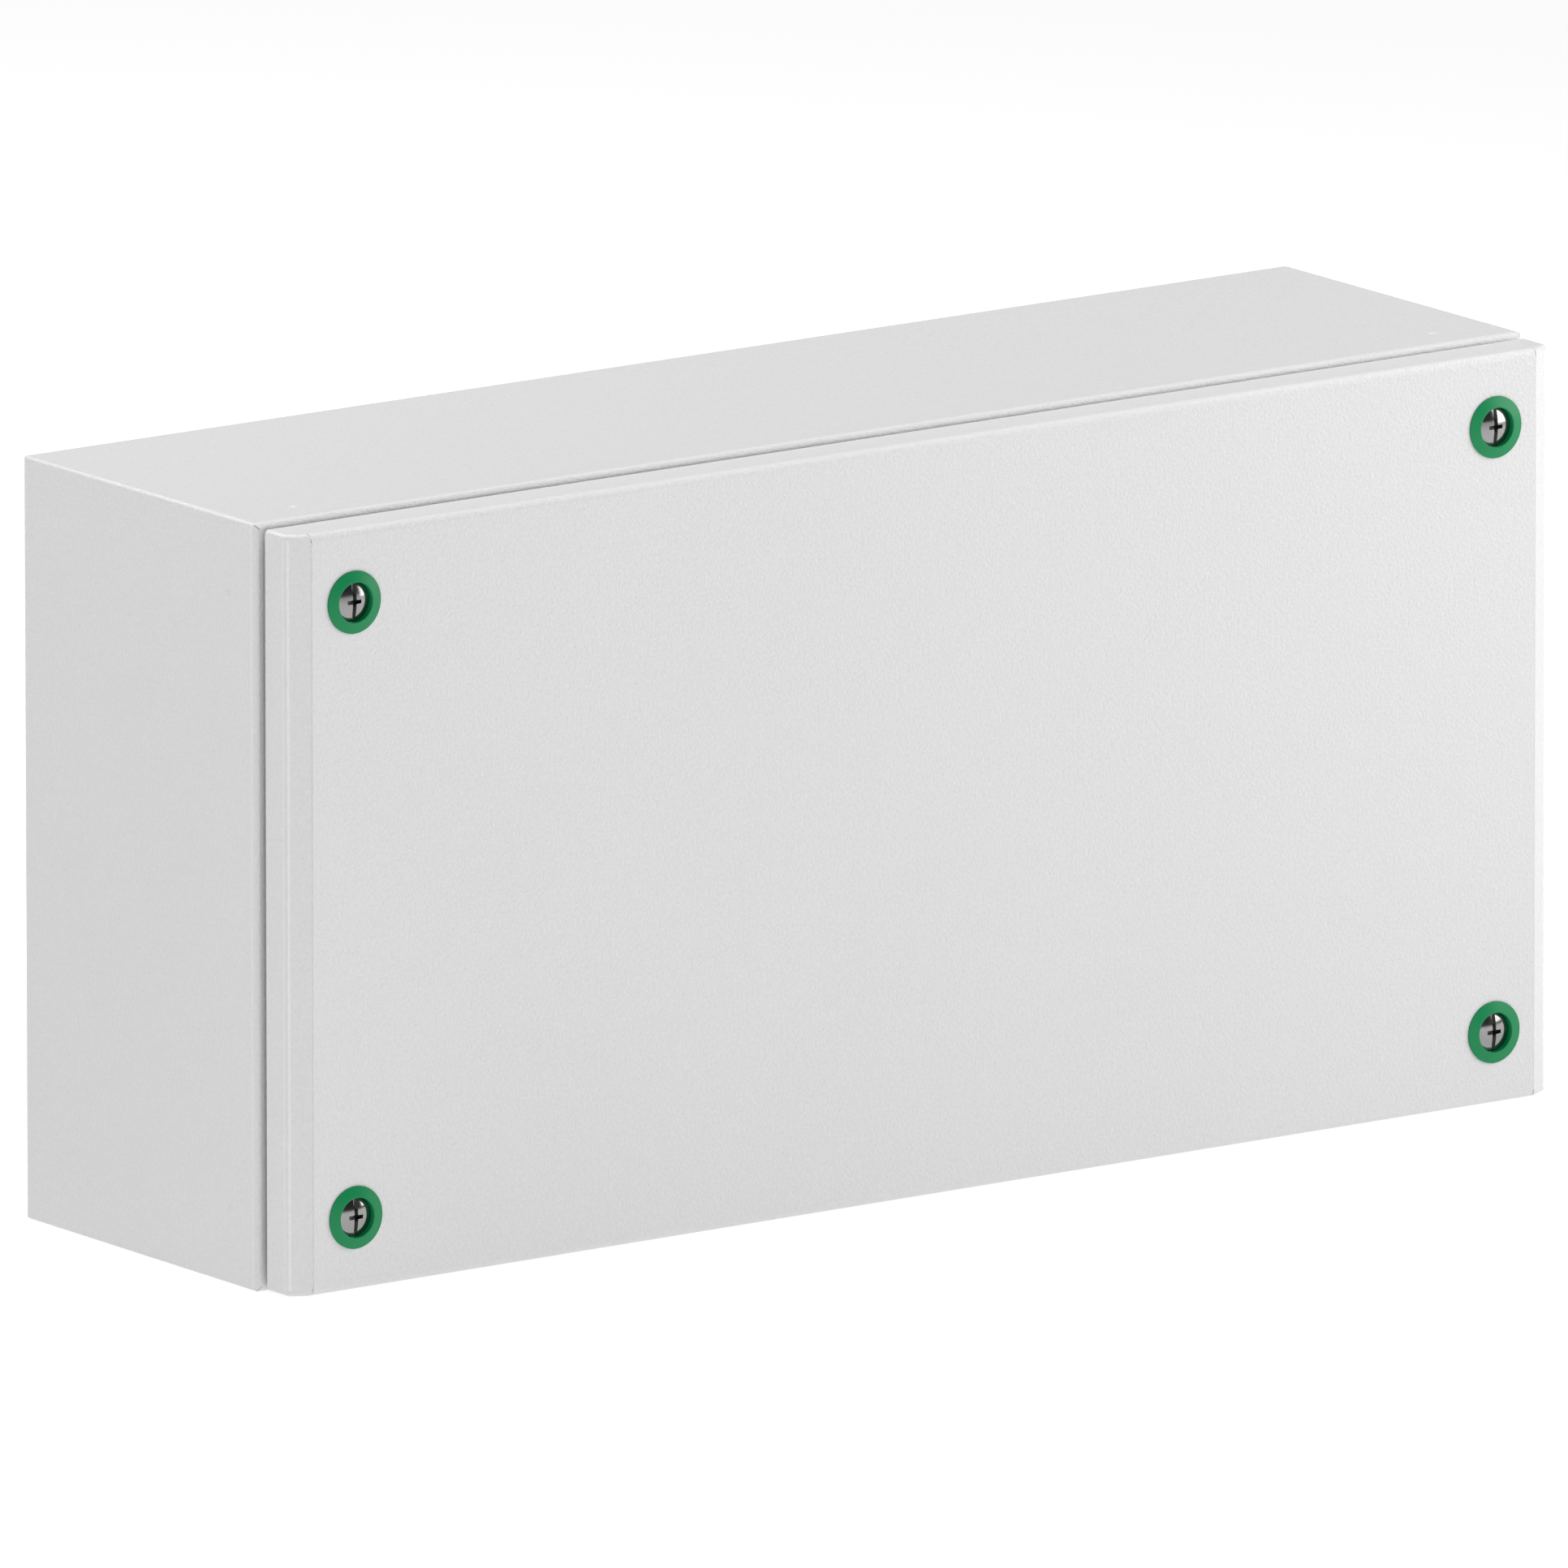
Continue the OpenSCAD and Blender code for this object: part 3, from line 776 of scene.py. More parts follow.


# The body's paint has painted highlight lines where the rim fold starts on its sides.
PAINT = Finish(
    "light_grey_powder_coat", (0.63, 0.63, 0.63), 0.34, bump=0.0002, bump_strength=1.0, dust=0.01,
    sizes=(("Scale", 1100.0), ("Pits", 0.5), ("Tone", 0.03)),
    creases=(("First", 0.1022), ("Second", 0.1022), ("Reach", 0.0995), ("Light", 0.06), ("Dark", 0.0)),
)
ZINC = Finish(
    "zinc_plate", (0.6, 0.61, 0.63), 0.3, metallic=1.0, texture=Texture.DRAWN, bump=0.000008, dust=0.1,
    sizes=(("Along", 900.0), ("Across", 2400.0), ("Rise", 900.0), ("Tone", 0.06)),
)
FINISHES = {
    "painted_steel": PAINT,
    "zinc_plated_steel": ZINC,
    "galvanised_sheet": Finish(
        "hot_dip_zinc", (0.52, 0.54, 0.56), 0.36, metallic=1.0, texture=Texture.SPANGLE, bump=0.00001,
        dust=0.08,
    ),
    "copper_plated_steel": replace(
        ZINC, name="copper_plate", color=(0.72, 0.36, 0.22), roughness=0.28, dust=0.12
    ),
    "brass": replace(
        ZINC, name="satin_brass", color=(0.72, 0.52, 0.22),
        sizes=(("Along", 900.0), ("Across", 2400.0), ("Rise", 900.0), ("Tone", 0.05)),
    ),
    "foam_rubber": Finish(
        "foam_rubber", (0.035, 0.035, 0.037), 0.85, sizes=(("Scale", 1400.0), ("Pits", 0.8), ("Tone", 0.2)),
        bump=0.0002, bump_strength=0.8, dust=0.3, specular=0.3,
    ),
    "green_plastic": Finish(
        "green_plastic", (0.001, 0.2, 0.065), 0.33, sizes=(("Scale", 2600.0), ("Pits", 0.3), ("Tone", 0.03)),
        bump=0.00001, bump_strength=0.4, specular=0.3,
    ),
    "nylon": Finish(
        "nylon", (0.74, 0.71, 0.62), 0.45, sizes=(("Scale", 1800.0), ("Pits", 0.3), ("Tone", 0.03)),
        bump=0.00001, dust=0.06,
    ),
    "stainless_steel": Finish(
        "polished_stainless", (0.3, 0.298, 0.295), 0.14, metallic=1.0, texture=Texture.DRAWN, bump=0.000002,
        dust=0.05, sizes=(("Along", 500.0), ("Across", 4000.0), ("Rise", 500.0), ("Tone", 0.03)),
    ),
}
TABLE = Finish("white_floor", (0.3, 0.3, 0.3), 0.9, sizes=(("Scale", 40.0), ("Tone", 0.002)), dust=0.0)
# The cover's paint has painted highlight lines at its side folds and a painted shade line at its slope folds.
COVER_PAINT = replace(PAINT, name="light_grey_powder_coat_cover", creases=(
    ("First", 0.1148), ("Second", 0.116), ("Across", 0.193), ("Reach", 0.0975), ("Light", 0.13),
    ("Dark", 0.14),
))


# ---------------------------------------------------------------- cabinet


@dataclass
class BodyShell:
    """The folded box with its front rim and lip.

    Attributes:
        sheet: The sheet's thickness.
        edge_r: The outer radius of the folds from back to front.
        back_r: The outer radius of the folds round the back.
        rim_r: The outer radius of the fold to the front rim.
        lip_h: How far the lip stands in front of the rim.
        lip_in: The distance from the outer faces to the lip's outer face.
        lip_corner_r: The corner radius of the lip's outer face.
        lip_fold_r: The inner radius of the fold from rim to lip.
        lip_root: How far the lip's foot reaches into the rim.
        mitre: The width of the open mitre at each corner of the rim.
        hole_r: The radius of the wall holes.
        hole_x: The wall holes' distance from the middle.
        hole_z: The wall holes' height above the middle.
        weld_in: How far the weld marks lie behind the rim.
        weld_side: The weld marks' distance from the end of their wall.
        weld_r: The radius of a weld mark.
        weld_deep: The depth of a weld mark.
        edge: The rounding that the coat leaves on a cut edge.
    """

    sheet: float = 0.0012
    edge_r: float = 0.0014
    back_r: float = 0.0024
    rim_r: float = 0.002
    lip_h: float = 0.008
    lip_in: float = 0.0096
    lip_corner_r: float = 0.006
    lip_fold_r: float = 0.0012
    lip_root: float = 0.0004
    mitre: float = 0.00014
    hole_r: float = 0.00425
    hole_x: float = 0.15
    hole_z: float = 0.08
    weld_in: float = 0.012
    weld_side: float = 0.02
    weld_r: float = 0.00125
    weld_deep: float = 0.0003
    edge: float = 0.00022

    def __post_init__(self) -> None:
        """Takes the outer size and the depth of the rim from the frame."""
        low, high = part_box("body_shell")
        self.half_w, self.half_h = high.x, high.z
        self.rim = -low.y - self.lip_h

    def folded_box(self, inset: float) -> Solid:
        """Makes the outer form of the box, or the form of its inside.

        Args:
            inset: How far every face is moved in.

        Returns:
            A solid whose folds are as much tighter as it is smaller.
        """
        low = place(inset - self.half_w, inset, inset - self.half_h)
        high = place(self.half_w - inset, self.rim - inset, self.half_h - inset)
        edge_r, back_r, rim_r = (max(r - inset, LEAST_FOLD) for r in (self.edge_r, self.back_r, self.rim_r))
        middle = (low.y + high.y) / 2
        forms = []
        for axis in (Axis.X, Axis.Z):
            form = block(low, high)
            round_edges(form, edges_along(form, axis, lambda m: m.y > middle), back_r)
            round_edges(form, edges_along(form, axis, lambda m: m.y < middle), rim_r)
            forms.append(form)
        outline = block(low, high)
        round_edges(outline, edges_along(outline, Axis.Y), edge_r)
        box = piece(outline, "body_shell_folded")
        join(box, Join.KEEP, *forms)
        return box

    def lip(self) -> Shape:
        """Makes the lip with the fold at its foot.

        Returns:
            A ring that starts inside the rim's sheet.
        """
        outer, top = self.lip_corner_r, self.rim + self.lip_h
        foot = (outer + self.lip_fold_r, self.rim + self.lip_fold_r)
        root = foot[0] + self.lip_root
        section = [(root, self.rim - self.sheet), *arc(foot, self.lip_fold_r + self.sheet, 270, 180)]
        section += [(outer - self.sheet, top), (outer, top)]
        section += [*arc(foot, self.lip_fold_r, 180, 270), (root, self.rim)]
        return swept(section, 2 * (self.half_w - self.lip_in), 2 * (self.half_h - self.lip_in), outer)

    def mouth(self) -> Shape:
        """Makes the cutter for the opening inside the lip's fold.

        Returns:
            A block with round corners.
        """
        x = self.half_w - self.lip_in + self.lip_fold_r
        z = self.half_h - self.lip_in + self.lip_fold_r
        cutter = block(place(-x, self.rim - self.sheet - OVER, -z), place(x, self.rim + OVER, z))
        round_edges(cutter, edges_along(cutter, Axis.Y), self.lip_corner_r + self.lip_fold_r)
        return cutter

    def wall_holes(self) -> Shape:
        """Makes the cutter for the four wall holes."""
        return pins(self.hole_r, -OVER, self.sheet + OVER, self.hole_x, self.hole_z)

    def mitres(self) -> Shape:
        """Makes the cutter for the slits where two sides' rims meet.

        Returns:
            Four thin plates, each at 45 degrees.
        """
        reach = Vector((self.rim_r, self.sheet, self.mitre / 2))
        parts = []
        for sx, sz in CORNERS.values():
            slit = turn(block(-reach, reach), -sx * sz * TURN / 8, Axis.Y)
            parts.append(move(slit, place(sx * self.half_w, self.rim, sz * self.half_h)))
        return merged(*parts)

    def weld_marks(self) -> Shape:
        """Makes the cutter for the shallow marks that the brackets' spot welds leave.

        Returns:
            Eight balls, of which a cap lies in a wall.
        """
        ball = (self.weld_r**2 + self.weld_deep**2) / (2 * self.weld_deep)
        depth, out = self.rim - self.weld_in, ball - self.weld_deep
        parts = []
        for sx, sz in CORNERS.values():
            for at in (
                place(sx * (self.half_w + out), depth, sz * (self.half_h - self.weld_side)),
                place(sx * (self.half_w - self.weld_side), depth, sz * (self.half_h + out)),
            ):
                part = bmesh.new()
                bmesh.ops.create_uvsphere(
                    part, u_segments=FINE_STEPS, v_segments=FINE_STEPS // 2, radius=ball
                )
                parts.append(move(part, at))
        return merged(*parts)

    def build(self, materials: Materials) -> None:
        """Makes the shell and dresses it.

        Args:
            materials: The material of each slot.
        """
        shell = self.folded_box(0)
        hollow = taken(self.folded_box(self.sheet))
        join(shell, Join.CUT, hollow, self.mouth(), self.wall_holes(), self.mitres(), self.weld_marks())
        join(shell, Join.ADD, self.lip())
        finish_edges(shell, self.edge)
        show(shell, "enclosure", "painted_steel", materials["painted_steel"], "body_shell")


@dataclass
class CoverPanel:
    """The folded cover with a sloping strip down its left and right edges.

    Attributes:
        sheet: The sheet's thickness.
        slope_w: The width of a sloping strip.
        slope_d: The depth of a sloping strip.
        slope_r: The outer radius of the fold from a sloping strip to the front.
        side_r: The outer radius of the fold from a side to its sloping strip.
        fold_r: The outer radius of the folds along the top and bottom.
        corner_r: The outer radius at the four corners.
        slit: The width of the relief at each end of the top and bottom folds.
        slit_deep: The depth of that relief.
        screw_x: The screws' distance from the middle.
        screw_z: The screws' height above the middle.
        hole_r: The radius of the holes for the screw rings.
        edge: The rounding that the coat leaves on a cut edge.
    """

    sheet: float = 0.0012
    slope_w: float = 0.0059
    slope_d: float = 0.0034
    slope_r: float = 0.0018
    side_r: float = 0.0014
    fold_r: float = 0.002
    corner_r: float = 0.0013
    slit: float = 0.00025
    slit_deep: float = 0.0004
    screw_x: float = 0.18
    screw_z: float = 0.08
    hole_r: float = 0.0063
    edge: float = 0.0002

    def __post_init__(self) -> None:
        """Takes the cover's size from the frame."""
        low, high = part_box("cover_panel")
        self.half_w, self.half_h = high.x, high.z
        self.back, self.front = -high.y, -low.y

    def sloped_block(self, inset: float, start: float) -> Shape:
        """Makes the cover's plain form, a block with its left and right front edges cut off.

        Args:
            inset: How far every face but the rear one is moved in.
            start: The depth of its rear face.

        Returns:
            The block, with every edge sharp.
        """
        low = place(inset - self.half_w, start, inset - self.half_h)
        form = block(low, place(self.half_w - inset, self.front - inset, self.half_h - inset))
        for side in (-1, 1):
            out = Vector((side * self.slope_d, -self.slope_w, 0)).normalized()
            on = place(side * self.half_w, self.front - self.slope_d, 0) - out * inset
            cut_off(form, on, out)
        bmesh.ops.recalc_face_normals(form, faces=form.faces)
        return form

    def form(self, inset: float, start: float) -> Solid:
        """Makes the outer form of the cover, or the form of its inside.

        Args:
            inset: How far every face but the rear one is moved in.
            start: The depth of its rear face.

        Returns:
            A solid with every fold rounded.
        """
        low = place(inset - self.half_w, start, inset - self.half_h)
        high = place(self.half_w - inset, self.front - inset, self.half_h - inset)
        middle = (low.y + high.y) / 2
        ends = self.sloped_block(inset, start)
        welded = []
        for edge in ends.edges:
            a, b = (v.co for v in edge.verts)
            if min(abs(a.z), abs(b.z)) > high.z - CLOSE and a.z * b.z > 0 and abs(a.y - b.y) > CLOSE:
                welded.append(edge)
        round_edges(ends, welded, max(self.corner_r - inset, LEAST_FOLD))
        sides = self.sloped_block(inset, start)
        outer = edges_along(sides, Axis.Z, lambda m: m.y < middle and abs(m.x) > high.x - OVER)
        inner = edges_along(sides, Axis.Z, lambda m: m.y < middle and abs(m.x) < high.x - OVER)
        fold_edges(sides, outer, max(self.side_r - inset, LEAST_FOLD))
        fold_edges(sides, inner, max(self.slope_r - inset, LEAST_FOLD))
        levels = block(low, high)
        folds = edges_along(levels, Axis.X, lambda m: m.y < middle)
        round_edges(levels, folds, max(self.fold_r - inset, LEAST_FOLD))
        solid = piece(levels, "cover_panel_folded")
        join(solid, Join.KEEP, sides, ends)
        return solid

    def slits(self) -> Shape:
        """Makes the cutter for the reliefs at the ends of the top and bottom folds.

        Returns:
            Four thin quarter rings.
        """
        inner, outer, half = self.fold_r - self.slit_deep, self.fold_r + OVER, self.slit / 2
        parts = []
        for sx, sz in CORNERS.values():
            near = place(
                sx * (self.half_w - self.slope_w), self.front - self.fold_r, sz * (self.half_h - self.fold_r)
            )
            slit = turned([(inner, -half), (outer, -half), (outer, half), (inner, half)], Vector((0, 0, 0)))
            move(turn(slit, TURN / 4, Axis.Z), near)
            for out in ((0, 1, 0), (0, 0, -sz)):
                cut_off(slit, near, out)
            bmesh.ops.recalc_face_normals(slit, faces=slit.faces)
            parts.append(slit)
        return merged(*parts)

    def ring_holes(self) -> Shape:
        """Makes the cutter for the holes of the screw rings."""
        rear, fore = self.front - self.sheet - OVER, self.front + OVER
        return pins(self.hole_r, rear, fore, self.screw_x, self.screw_z)

    def build(self, materials: Materials) -> None:
        """Makes the cover and dresses it.

        Args:
            materials: The material of each slot.
        """
        cover = self.form(0, self.back)
        hollow = taken(self.form(self.sheet, self.back - OVER))
        join(cover, Join.CUT, hollow, self.ring_holes(), self.slits())
        finish_edges(cover, self.edge)
        show(cover, "cover", "painted_steel", COVER_PAINT.make(), "cover_panel")


@dataclass
class CoverScrews:
    """The four captive screws with their rings and retainers.

    Attributes:
        screw_x: The screws' distance from the middle.
        screw_z: The screws' height above the middle.
        head_r: The radius of a head.
        dome: The height of the dome on a head.
        head_edge: The rounding of a head's corners.
        head_sharp: The smallest angle that counts as a corner of a head.
        neck_r: The radius of the neck.
        thread_r: The radius of the thread.
        pitch: The thread's pitch.
        thread_l: The length of the thread.
        thread_out: The length over which the thread runs out at the neck.
        thread_over: How far the form that trims the thread stands outside it.
        seat_in: The depth of the seat behind the cover's front face.
        slot_w: The width of the slot.
        slot_deep: The depth of the slot below the dome's top.
        slot_r: The rounding along the slot's floor.
        cross_l: The length of the cross, tip to tip.
        cross_deep: The depth of the cross below the dome's top.
        cross_taper: The share of its width and length that the cross has at its floor.
        cross_r: The rounding where two wings of the cross meet.
        ring_proud: How far a ring stands in front of the cover.
        ring_edge: The thickness of a ring's outer edge.
        ring_r: The outer radius of a ring's flange.
        well_r: The radius of a ring's well.
        sleeve_r: The radius of a ring's sleeve.
        clip_out: How far a ring's clip stands out behind the cover.
        seat_t: The thickness of a ring's seat.
        seat_bore_r: The radius of the hole in the seat.
        tongue_gap: The width of the gaps between a clip's tongues.
        tongue_in: How far the gaps reach into the well's wall.
        sheet: The thickness of the cover's sheet, which the clip holds.
        lead: The chamfer at the end of a sleeve and the height of the clip's rim.
        clip_ramp: The depth of the clip, with its ramp.
        dish_w: The width of the chamfer on a retainer's front.
        dish_deep: The depth of that chamfer.
        neck_gap: The gap between a retainer and its screw's neck.
        screw_edge: The rounding of a screw's edges.
        moulded_edge: The rounding of a ring's edges.
        retainer_edge: The rounding of a retainer's edges.
    """

    screw_x: float = 0.18
    screw_z: float = 0.08
    head_r: float = 0.005
    dome: float = 0.0009
    head_edge: float = 0.00012
    head_sharp: float = math.radians(50)
    neck_r: float = 0.00195
    thread_r: float = 0.0025
    pitch: float = 0.0008
    thread_l: float = 0.008
    thread_out: float = 0.0003
    thread_over: float = 0.0001
    seat_in: float = 0.003
    slot_w: float = 0.00115
    slot_deep: float = 0.0019
    slot_r: float = 0.00015
    cross_l: float = 0.0049
    cross_deep: float = 0.0026
    cross_taper: float = 0.62
    cross_r: float = 0.00035
    ring_proud: float = 0.001
    ring_edge: float = 0.0004
    ring_r: float = 0.00815
    well_r: float = 0.0052
    sleeve_r: float = 0.0062
    clip_out: float = 0.0006
    seat_t: float = 0.003
    seat_bore_r: float = 0.00265
    tongue_gap: float = 0.0014
    tongue_in: float = 0.0004
    sheet: float = 0.0012
    lead: float = 0.0005
    clip_ramp: float = 0.001
    dish_w: float = 0.0008
    dish_deep: float = 0.0003
    neck_gap: float = 0.00005
    screw_edge: float = 0.00006
    moulded_edge: float = 0.00012
    retainer_edge: float = 0.0001

    def __post_init__(self) -> None:
        """Takes the depths along a screw's axis from the frame."""
        low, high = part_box("cover_screw_top_right")
        self.top, self.tip = -low.y, -high.y
        self.cover_front = -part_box("cover_panel")[0].y
        self.seat = self.cover_front - self.seat_in
        self.home = place(self.screw_x, 0, self.screw_z)

    def head(self) -> Shape:
        """Turns the head and neck.

        Returns:
            A solid whose dome is an arc.
        """
        dome_r = (self.head_r**2 + self.dome**2) / (2 * self.dome)
        half = math.degrees(math.asin(self.head_r / dome_r))
        crown = arc((0, self.top - dome_r), dome_r, 90 - half, 90, DOME_STEPS)[:-1]
        rear, seat = self.tip + self.thread_l - self.pitch / 4, self.seat
        profile = [(0, rear), (self.neck_r, rear), (self.neck_r, seat), (self.head_r, seat)]
        solid = turned([*profile, *crown, (0, self.top)], self.home)
        corners = [e for e in solid.edges if e.is_manifold and e.calc_face_angle() > self.head_sharp]
        round_edges(solid, corners, self.head_edge, 2, clamp=True)
        return solid

    def recess(self) -> Shape:
        """Makes the cutter for the cross, whose wings taper inward.

        Returns:
            Two crossed wings with rounded edges.
        """
        wings = []
        for long_x in (True, False):
            x, z = (self.cross_l / 2, self.slot_w / 2) if long_x else (self.slot_w / 2, self.cross_l / 2)
            wing = block(place(-x, self.top - self.cross_deep, -z), place(x, self.top + OVER, z))
            foot = [v for v in wing.verts if v.co.y > -self.top]
            bmesh.ops.scale(wing, vec=(self.cross_taper, 1, self.cross_taper), verts=foot)
            wings.append(move(wing, self.home))
        cross = piece(wings[0], "cross")
        join(cross, Join.ADD, wings[1])
        cutter = taken(cross)
        inner = [
            e for e in cutter.edges
            if abs(e.verts[0].co.y - e.verts[1].co.y) > OVER and not e.is_convex and e.calc_face_angle() > 1
        ]
        round_edges(cutter, inner, self.cross_r, 4)
        return cutter

    def slot(self) -> Shape:
        """Makes the cutter for the slot, which runs right across the head.

        Returns:
            A bar with its lower edges rounded.
        """
        half, reach = self.slot_w / 2, 2 * self.head_r
        bar = block(place(-half, self.top - self.slot_deep, -reach), place(half, self.top + OVER, reach))
        round_edges(bar, edges_along(bar, Axis.Z, lambda m: m.y > -self.top), self.slot_r, 2)
        return move(bar, self.home)

    def screw(self) -> Solid:
        """Makes the screw at the top right corner.

        Returns:
            A solid with a real thread and a slotted cross.
        """
        start, wide = self.tip + self.thread_l, self.thread_r + self.thread_over
        rod = piece(threaded(self.thread_r, self.pitch, self.tip, start, self.home), "screw")
        blank = [(0, self.tip), (self.thread_r - 0.75 * self.pitch, self.tip), (wide, self.tip + self.pitch)]
        blank += [(wide, start - self.thread_out), (self.neck_r, start), (0, start)]
        join(rod, Join.KEEP, turned(blank, self.home))
        join(rod, Join.ADD, self.head())
        join(rod, Join.CUT, self.slot(), self.recess())
        finish_edges(rod, self.screw_edge)
        return rod

    def ring(self) -> Solid:
        """Makes the ring at the top right corner.

        Returns:
            A solid with a well, a seat, a clip of four tongues and a flange that falls outward.
        """
        face, clip, back = self.cover_front, self.cover_front - self.sheet, self.seat - self.seat_t
        lip = self.sleeve_r + self.clip_out
        profile = [
            (self.well_r, face + self.ring_proud), (self.well_r, self.seat), (self.seat_bore_r, self.seat),
            (self.seat_bore_r, back), (self.sleeve_r - self.lead, back), (self.sleeve_r, back + self.lead),
            (self.sleeve_r, clip - self.clip_out - self.clip_ramp), (lip, clip - self.lead), (lip, clip),
            (self.sleeve_r, clip), (self.sleeve_r, face), (self.ring_r, face),
            (self.ring_r, face + self.ring_edge), (self.well_r + self.ring_edge, face + self.ring_proud),
        ]
        ring = piece(turned(profile, self.home, FINE_STEPS), "ring")
        reach = Vector((self.ring_r, (clip - back) / 2 + OVER / 4, self.tongue_gap / 2))
        middle = self.home + place(0, (clip + back) / 2 - OVER / 4, 0)
        gaps = [move(turn(block(-reach, reach), angle, Axis.Y), middle) for angle in (TURN / 8, TURN * 3 / 8)]
        core = self.well_r - self.tongue_in
        hub = turned([(0, back - OVER), (core, back - OVER), (core, face), (0, face)], self.home)
        cross = piece(gaps[0], "gaps")
        join(cross, Join.ADD, gaps[1])
        join(cross, Join.CUT, hub)
        join(ring, Join.CUT, taken(cross))
        finish_edges(ring, self.moulded_edge)
        return ring

    def retainer(self) -> Solid:
        """Makes the retainer at the top right corner, a washer with a dished face.

        Returns:
            A ring that fits the CAD retainer's box.
        """
        low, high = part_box("screw_retainer_top_right")
        outer, rear, fore = (high.x - low.x) / 2, -high.y, -low.y
        bore = self.neck_r + self.neck_gap
        profile = [(bore, rear), (outer, rear), (outer, fore - self.dish_deep), (outer - self.dish_w, fore)]
        washer = piece(turned([*profile, (bore, fore)], self.home), "retainer")
        finish_edges(washer, self.retainer_edge)
        return washer

    def build(self, materials: Materials) -> None:
        """Makes one set and copies it to the other corners.

        Args:
            materials: The material of each slot.
        """
        kinds = (
            (self.screw(), "cover_screw", "screw_{}", "stainless_steel"),
            (self.ring(), "screw_ring", "cover", "green_plastic"),
            (self.retainer(), "screw_retainer", "retainer_{}", "nylon"),
        )
        for first, node, body, slot in kinds:
            for corner, (sx, sz) in CORNERS.items():
                by = place((sx - 1) * self.screw_x, 0, (sz - 1) * self.screw_z)
                twin = moved_copy(first, f"{node}_{corner}_detailed", by)
                show(twin, body.format(corner), slot, materials[slot], f"{node}_{corner}")
            bpy.data.objects.remove(first)


@dataclass
class Gasket:
    """The foam strip inside the cover.

    Attributes:
        crown: How much the strip's free face bulges.
        lip_corner_r: The corner radius of the lip's outer face.
        sheet: The lip's thickness.
        lip_in: The distance from the body's outer faces to the lip's outer face.
        edge: The rounding of the strip's edges.
    """

    crown: float = 0.0007
    lip_corner_r: float = 0.006
    sheet: float = 0.0012
    lip_in: float = 0.0096
    edge: float = 0.0003

    def build(self, materials: Materials) -> None:
        """Makes the strip and dresses it.

        Args:
            materials: The material of each slot.
        """
        low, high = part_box("cover_gasket")
        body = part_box("body_shell")[1]
        width, height = 2 * (body.x - self.lip_in), 2 * (body.z - self.lip_in)
        middle = self.lip_corner_r - self.sheet / 2
        half = high.x - (width / 2 - self.lip_corner_r) - middle
        swell = (half**2 + self.crown**2) / (2 * self.crown)
        bend = math.degrees(math.asin(half / swell))
        section = [(middle + half, -low.y), *arc((middle, swell - high.y), swell, 270 + bend, 270 - bend)]
        section.append((middle - half, -low.y))
        strip = piece(swept(section, width, height, self.lip_corner_r), "cover_gasket_foam")
        finish_edges(strip, self.edge)
        show(strip, "cover", "foam_rubber", materials["foam_rubber"], "cover_gasket")


@dataclass
class Hardware:
    """The inner steel parts, with the edges and threads that the real ones have.

    Attributes:
        roundings: Each rounding and the starts of the names of the parts whose edges have it.
        studs: The studs' names.
        stud_r: The outer radius of a stud's thread.
        stud_pitch: The pitch of a stud's thread.
        point: The chamfer at a stud's ends.
    """

    roundings: tuple[tuple[float, tuple[str, ...]], ...] = (
        (0.0001, ("thread_inserts",)),
        (0.00015, ("plate_nuts", "mounting_rail", "rail_screws", "earth_nut", "cover_earth_nut")),
        (0.0002, ("corner_bracket", "plate_spacers", "mounting_plate", "plate_washers", "earth_washer",
                  "cover_earth_washer")),
    )
    studs: tuple[str, ...] = ("plate_studs", "earth_stud", "cover_earth_stud")
    stud_r: float = 0.003
    stud_pitch: float = 0.001
    point: float = 0.0006

    def rounded(self, node: str, radius: float) -> Solid:
        """Copies a CAD part and rounds its edges.

        Args:
            node: The part's name.
            radius: The width of the rounding.

        Returns:
            The finished copy.
        """
        bm = bmesh.new()
        bm.from_mesh(frame["nodes"][node].data)
        bmesh.ops.remove_doubles(bm, verts=bm.verts, dist=CLOSE)
        bmesh.ops.dissolve_limit(bm, angle_limit=FLAT, verts=bm.verts, edges=bm.edges)
        part = piece(bm, f"{node}_finished")
        finish_edges(part, radius)
        return part

    def threaded_studs(self, node: str) -> Solid:
        """Makes the studs of one CAD part with real threads.

        Args:
            node: The part's name.

        Returns:
            One object that holds a stud at each place.
        """
        low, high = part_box(node)
        rear, fore, outer, point = -high.y, -low.y, self.stud_r, self.point
        profile = [(0, rear), (outer - point, rear), (outer, rear + point), (outer, fore - point)]
        rods = []
        for x in sorted({round(low.x + outer, 5), round(high.x - outer, 5)}):
            for z in sorted({round(low.z + outer, 5), round(high.z - outer, 5)}):
                rod = piece(threaded(outer, self.stud_pitch, rear, fore, place(x, 0, z)), "rod")
                join(rod, Join.KEEP, turned([*profile, (outer - point, fore), (0, fore)], place(x, 0, z)))
                rods.append(taken(rod))
        studs = piece(merged(*rods), f"{node}_threaded")
        finish_edges(studs, 0)
        return studs

    def build(self, materials: Materials) -> None:
        """Makes every part and dresses it.

        Args:
            materials: The material of each slot.
        """
        for node, slot in node_slots().items():
            radius = next((r for r, starts in self.roundings if node.startswith(starts)), None)
            if radius is None and node not in self.studs:
                continue
            part = self.threaded_studs(node) if node in self.studs else self.rounded(node, radius)
            show(part, frame["nodes"][node]["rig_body"], slot, materials[slot], node)


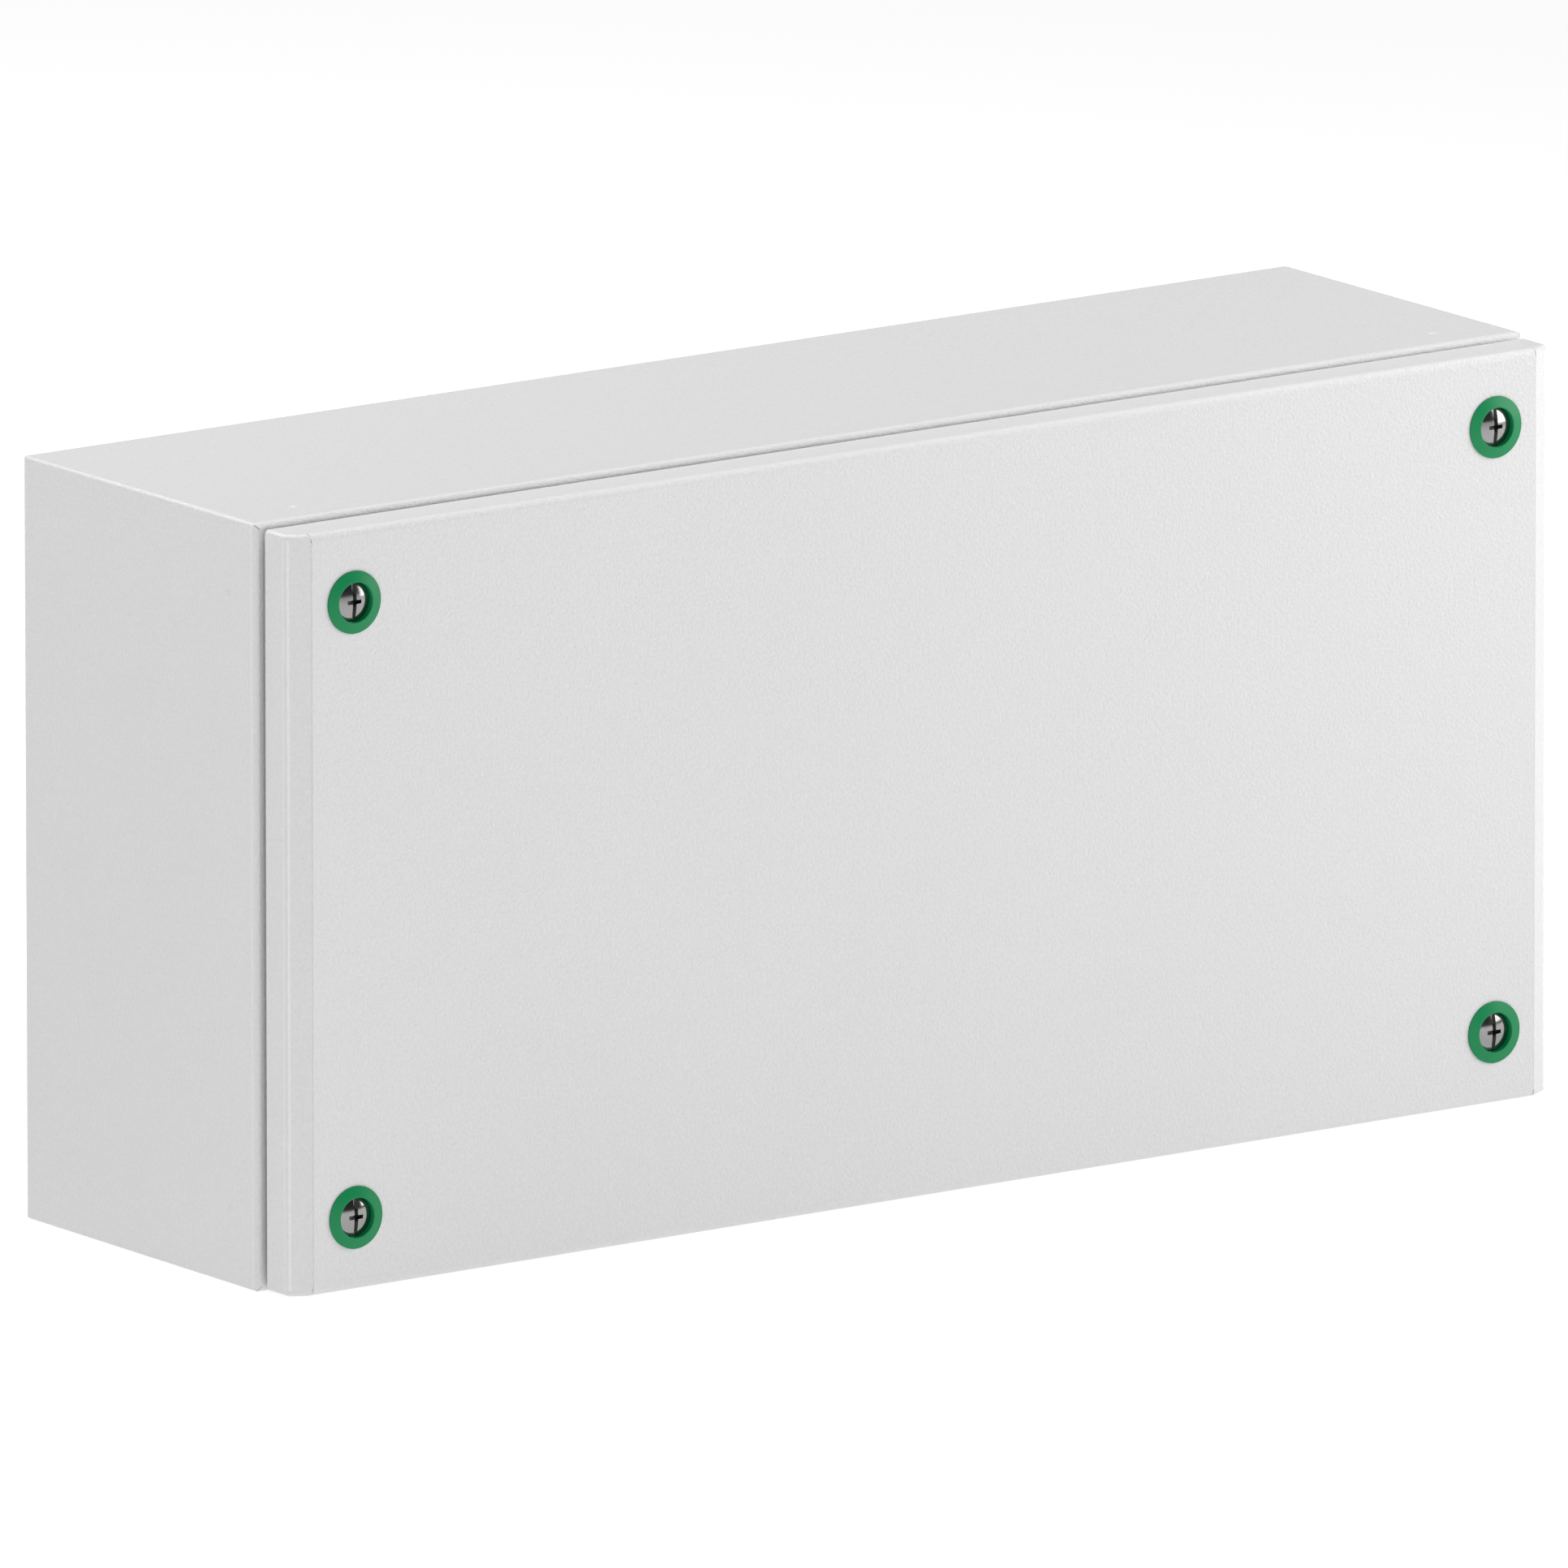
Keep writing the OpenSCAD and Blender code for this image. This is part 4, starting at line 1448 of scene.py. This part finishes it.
@dataclass(frozen=True)
class Softbox:
    """A soft light that faces the cabinet.

    Attributes:
        name: The light's name.
        at: Its place.
        size: Its width and height.
        power: Its power in watts.
    """

    name: str
    at: tuple[float, float, float]
    size: Pair
    power: float

    def hang(self, to: Vector) -> None:
        """Puts the light in the scene.

        Args:
            to: The point that it faces.
        """
        data = bpy.data.lights.new(self.name, "AREA")
        data.shape = "RECTANGLE"
        data.size, data.size_y = self.size
        data.energy = self.power
        lamp = bpy.data.objects.new(self.name, data)
        lamp.location = self.at
        lamp.rotation_euler = (to - Vector(self.at)).to_track_quat("-Z", "Y").to_euler()
        bpy.context.scene.collection.objects.link(lamp)


@dataclass
class Studio:
    """The floor, the lights and the camera.

    Attributes:
        azimuth: Where the camera stands, in degrees round the cabinet from straight in front.
        elevation: How far it looks down, in degrees.
        roll: How far it is turned about its own line of sight, in degrees.
        lens: Its focal length in millimetres.
        sensor: The width of its sensor in millimetres.
        stand_off: Its distance along its line of sight.
        aim: The point that it looks at.
        room: The strength of the even light from all round.
        glow: The light that the white floor, a lit table, gives by itself.
        target: The point that the lights face.
        lights: The lights.
        table: Half the width of the floor.
        view: How far the camera sees.
    """

    azimuth: float = -35.7
    elevation: float = 12.589
    roll: float = -0.033
    lens: float = 1057.3
    sensor: float = 36.0
    stand_off: float = 11.832
    aim: tuple[float, float, float] = (-0.003415, -0.06, -0.000997)
    room: float = 0.05
    glow: float = 0.8
    target: tuple[float, float, float] = (0, -0.06, 0)
    table: float = 20.0
    view: float = 60.0
    lights: tuple[Softbox, ...] = (
        Softbox("overhead_front", (-0.2, -0.91, 1.47), (1.8, 0.8), 3.5),
        Softbox("overhead_rear", (-0.5, 0.5, 1.5), (1.6, 0.8), 33.9),
        Softbox("right_front", (0.8, -0.45, 0.4), (0.9, 0.9), 8.3),
        Softbox("left_front", (-1.0, -1.5, 0.45), (0.6, 0.9), 9.2),
    )

    def camera(self) -> None:
        """Places the camera."""
        a, e = math.radians(self.azimuth), math.radians(self.elevation)
        back = Vector((math.sin(a) * math.cos(e), -math.cos(a) * math.cos(e), math.sin(e)))
        data = bpy.data.cameras.new("camera")
        data.lens, data.sensor_width, data.clip_end = self.lens, self.sensor, self.view
        camera = bpy.data.objects.new("camera", data)
        level = (-back).to_track_quat("-Z", "Y").to_matrix()
        camera.rotation_euler = (level @ Matrix.Rotation(math.radians(self.roll), 3, "Z")).to_euler()
        camera.location = Vector(self.aim) + back * self.stand_off
        bpy.context.scene.collection.objects.link(camera)
        bpy.context.scene.camera = camera

    def floor(self) -> None:
        """Lays the floor under the cabinet."""
        bm = bmesh.new()
        bmesh.ops.create_grid(bm, x_segments=1, y_segments=1, size=self.table)
        floor = piece(move(bm, Vector((0, 0, CAD_BOX[0].z))), "floor")
        material = TABLE.make()
        shader = material.node_tree.nodes["Principled BSDF"]
        shader.inputs["Emission Color"].default_value = WHITE
        shader.inputs["Emission Strength"].default_value = self.glow
        floor.data.materials.append(material)

    def build(self) -> None:
        """Sets up the whole studio."""
        scene = bpy.context.scene
        scene.view_settings.view_transform = "Standard"
        world = bpy.data.worlds.new("studio")
        world.use_nodes = True
        sky = world.node_tree.nodes["Background"].inputs
        sky["Color"].default_value = WHITE
        sky["Strength"].default_value = self.room
        scene.world = world
        self.floor()
        for light in self.lights:
            light.hang(Vector(self.target))
        self.camera()


def node_slots() -> dict[str, str]:
    """The material slot of each CAD node."""
    return {part["node"]: part["material_slot"] for part in frame["record"]["subparts"]}


def dress_nodes(materials: Materials) -> None:
    """Gives every CAD node its finish.

    Args:
        materials: The material of each slot.
    """
    for node, slot in node_slots().items():
        data = frame["nodes"][node].data
        data.materials.clear()
        data.materials.append(materials[slot])


def main() -> None:
    """Builds the cabinet's looks and the studio."""
    logging.basicConfig(level=logging.INFO)
    Studio().build()
    materials = {slot: finish.make() for slot, finish in FINISHES.items()}
    dress_nodes(materials)
    for part in (Hardware(), BodyShell(), CoverPanel(), CoverScrews(), Gasket()):
        part.build(materials)


if __name__ == "__main__":
    main()
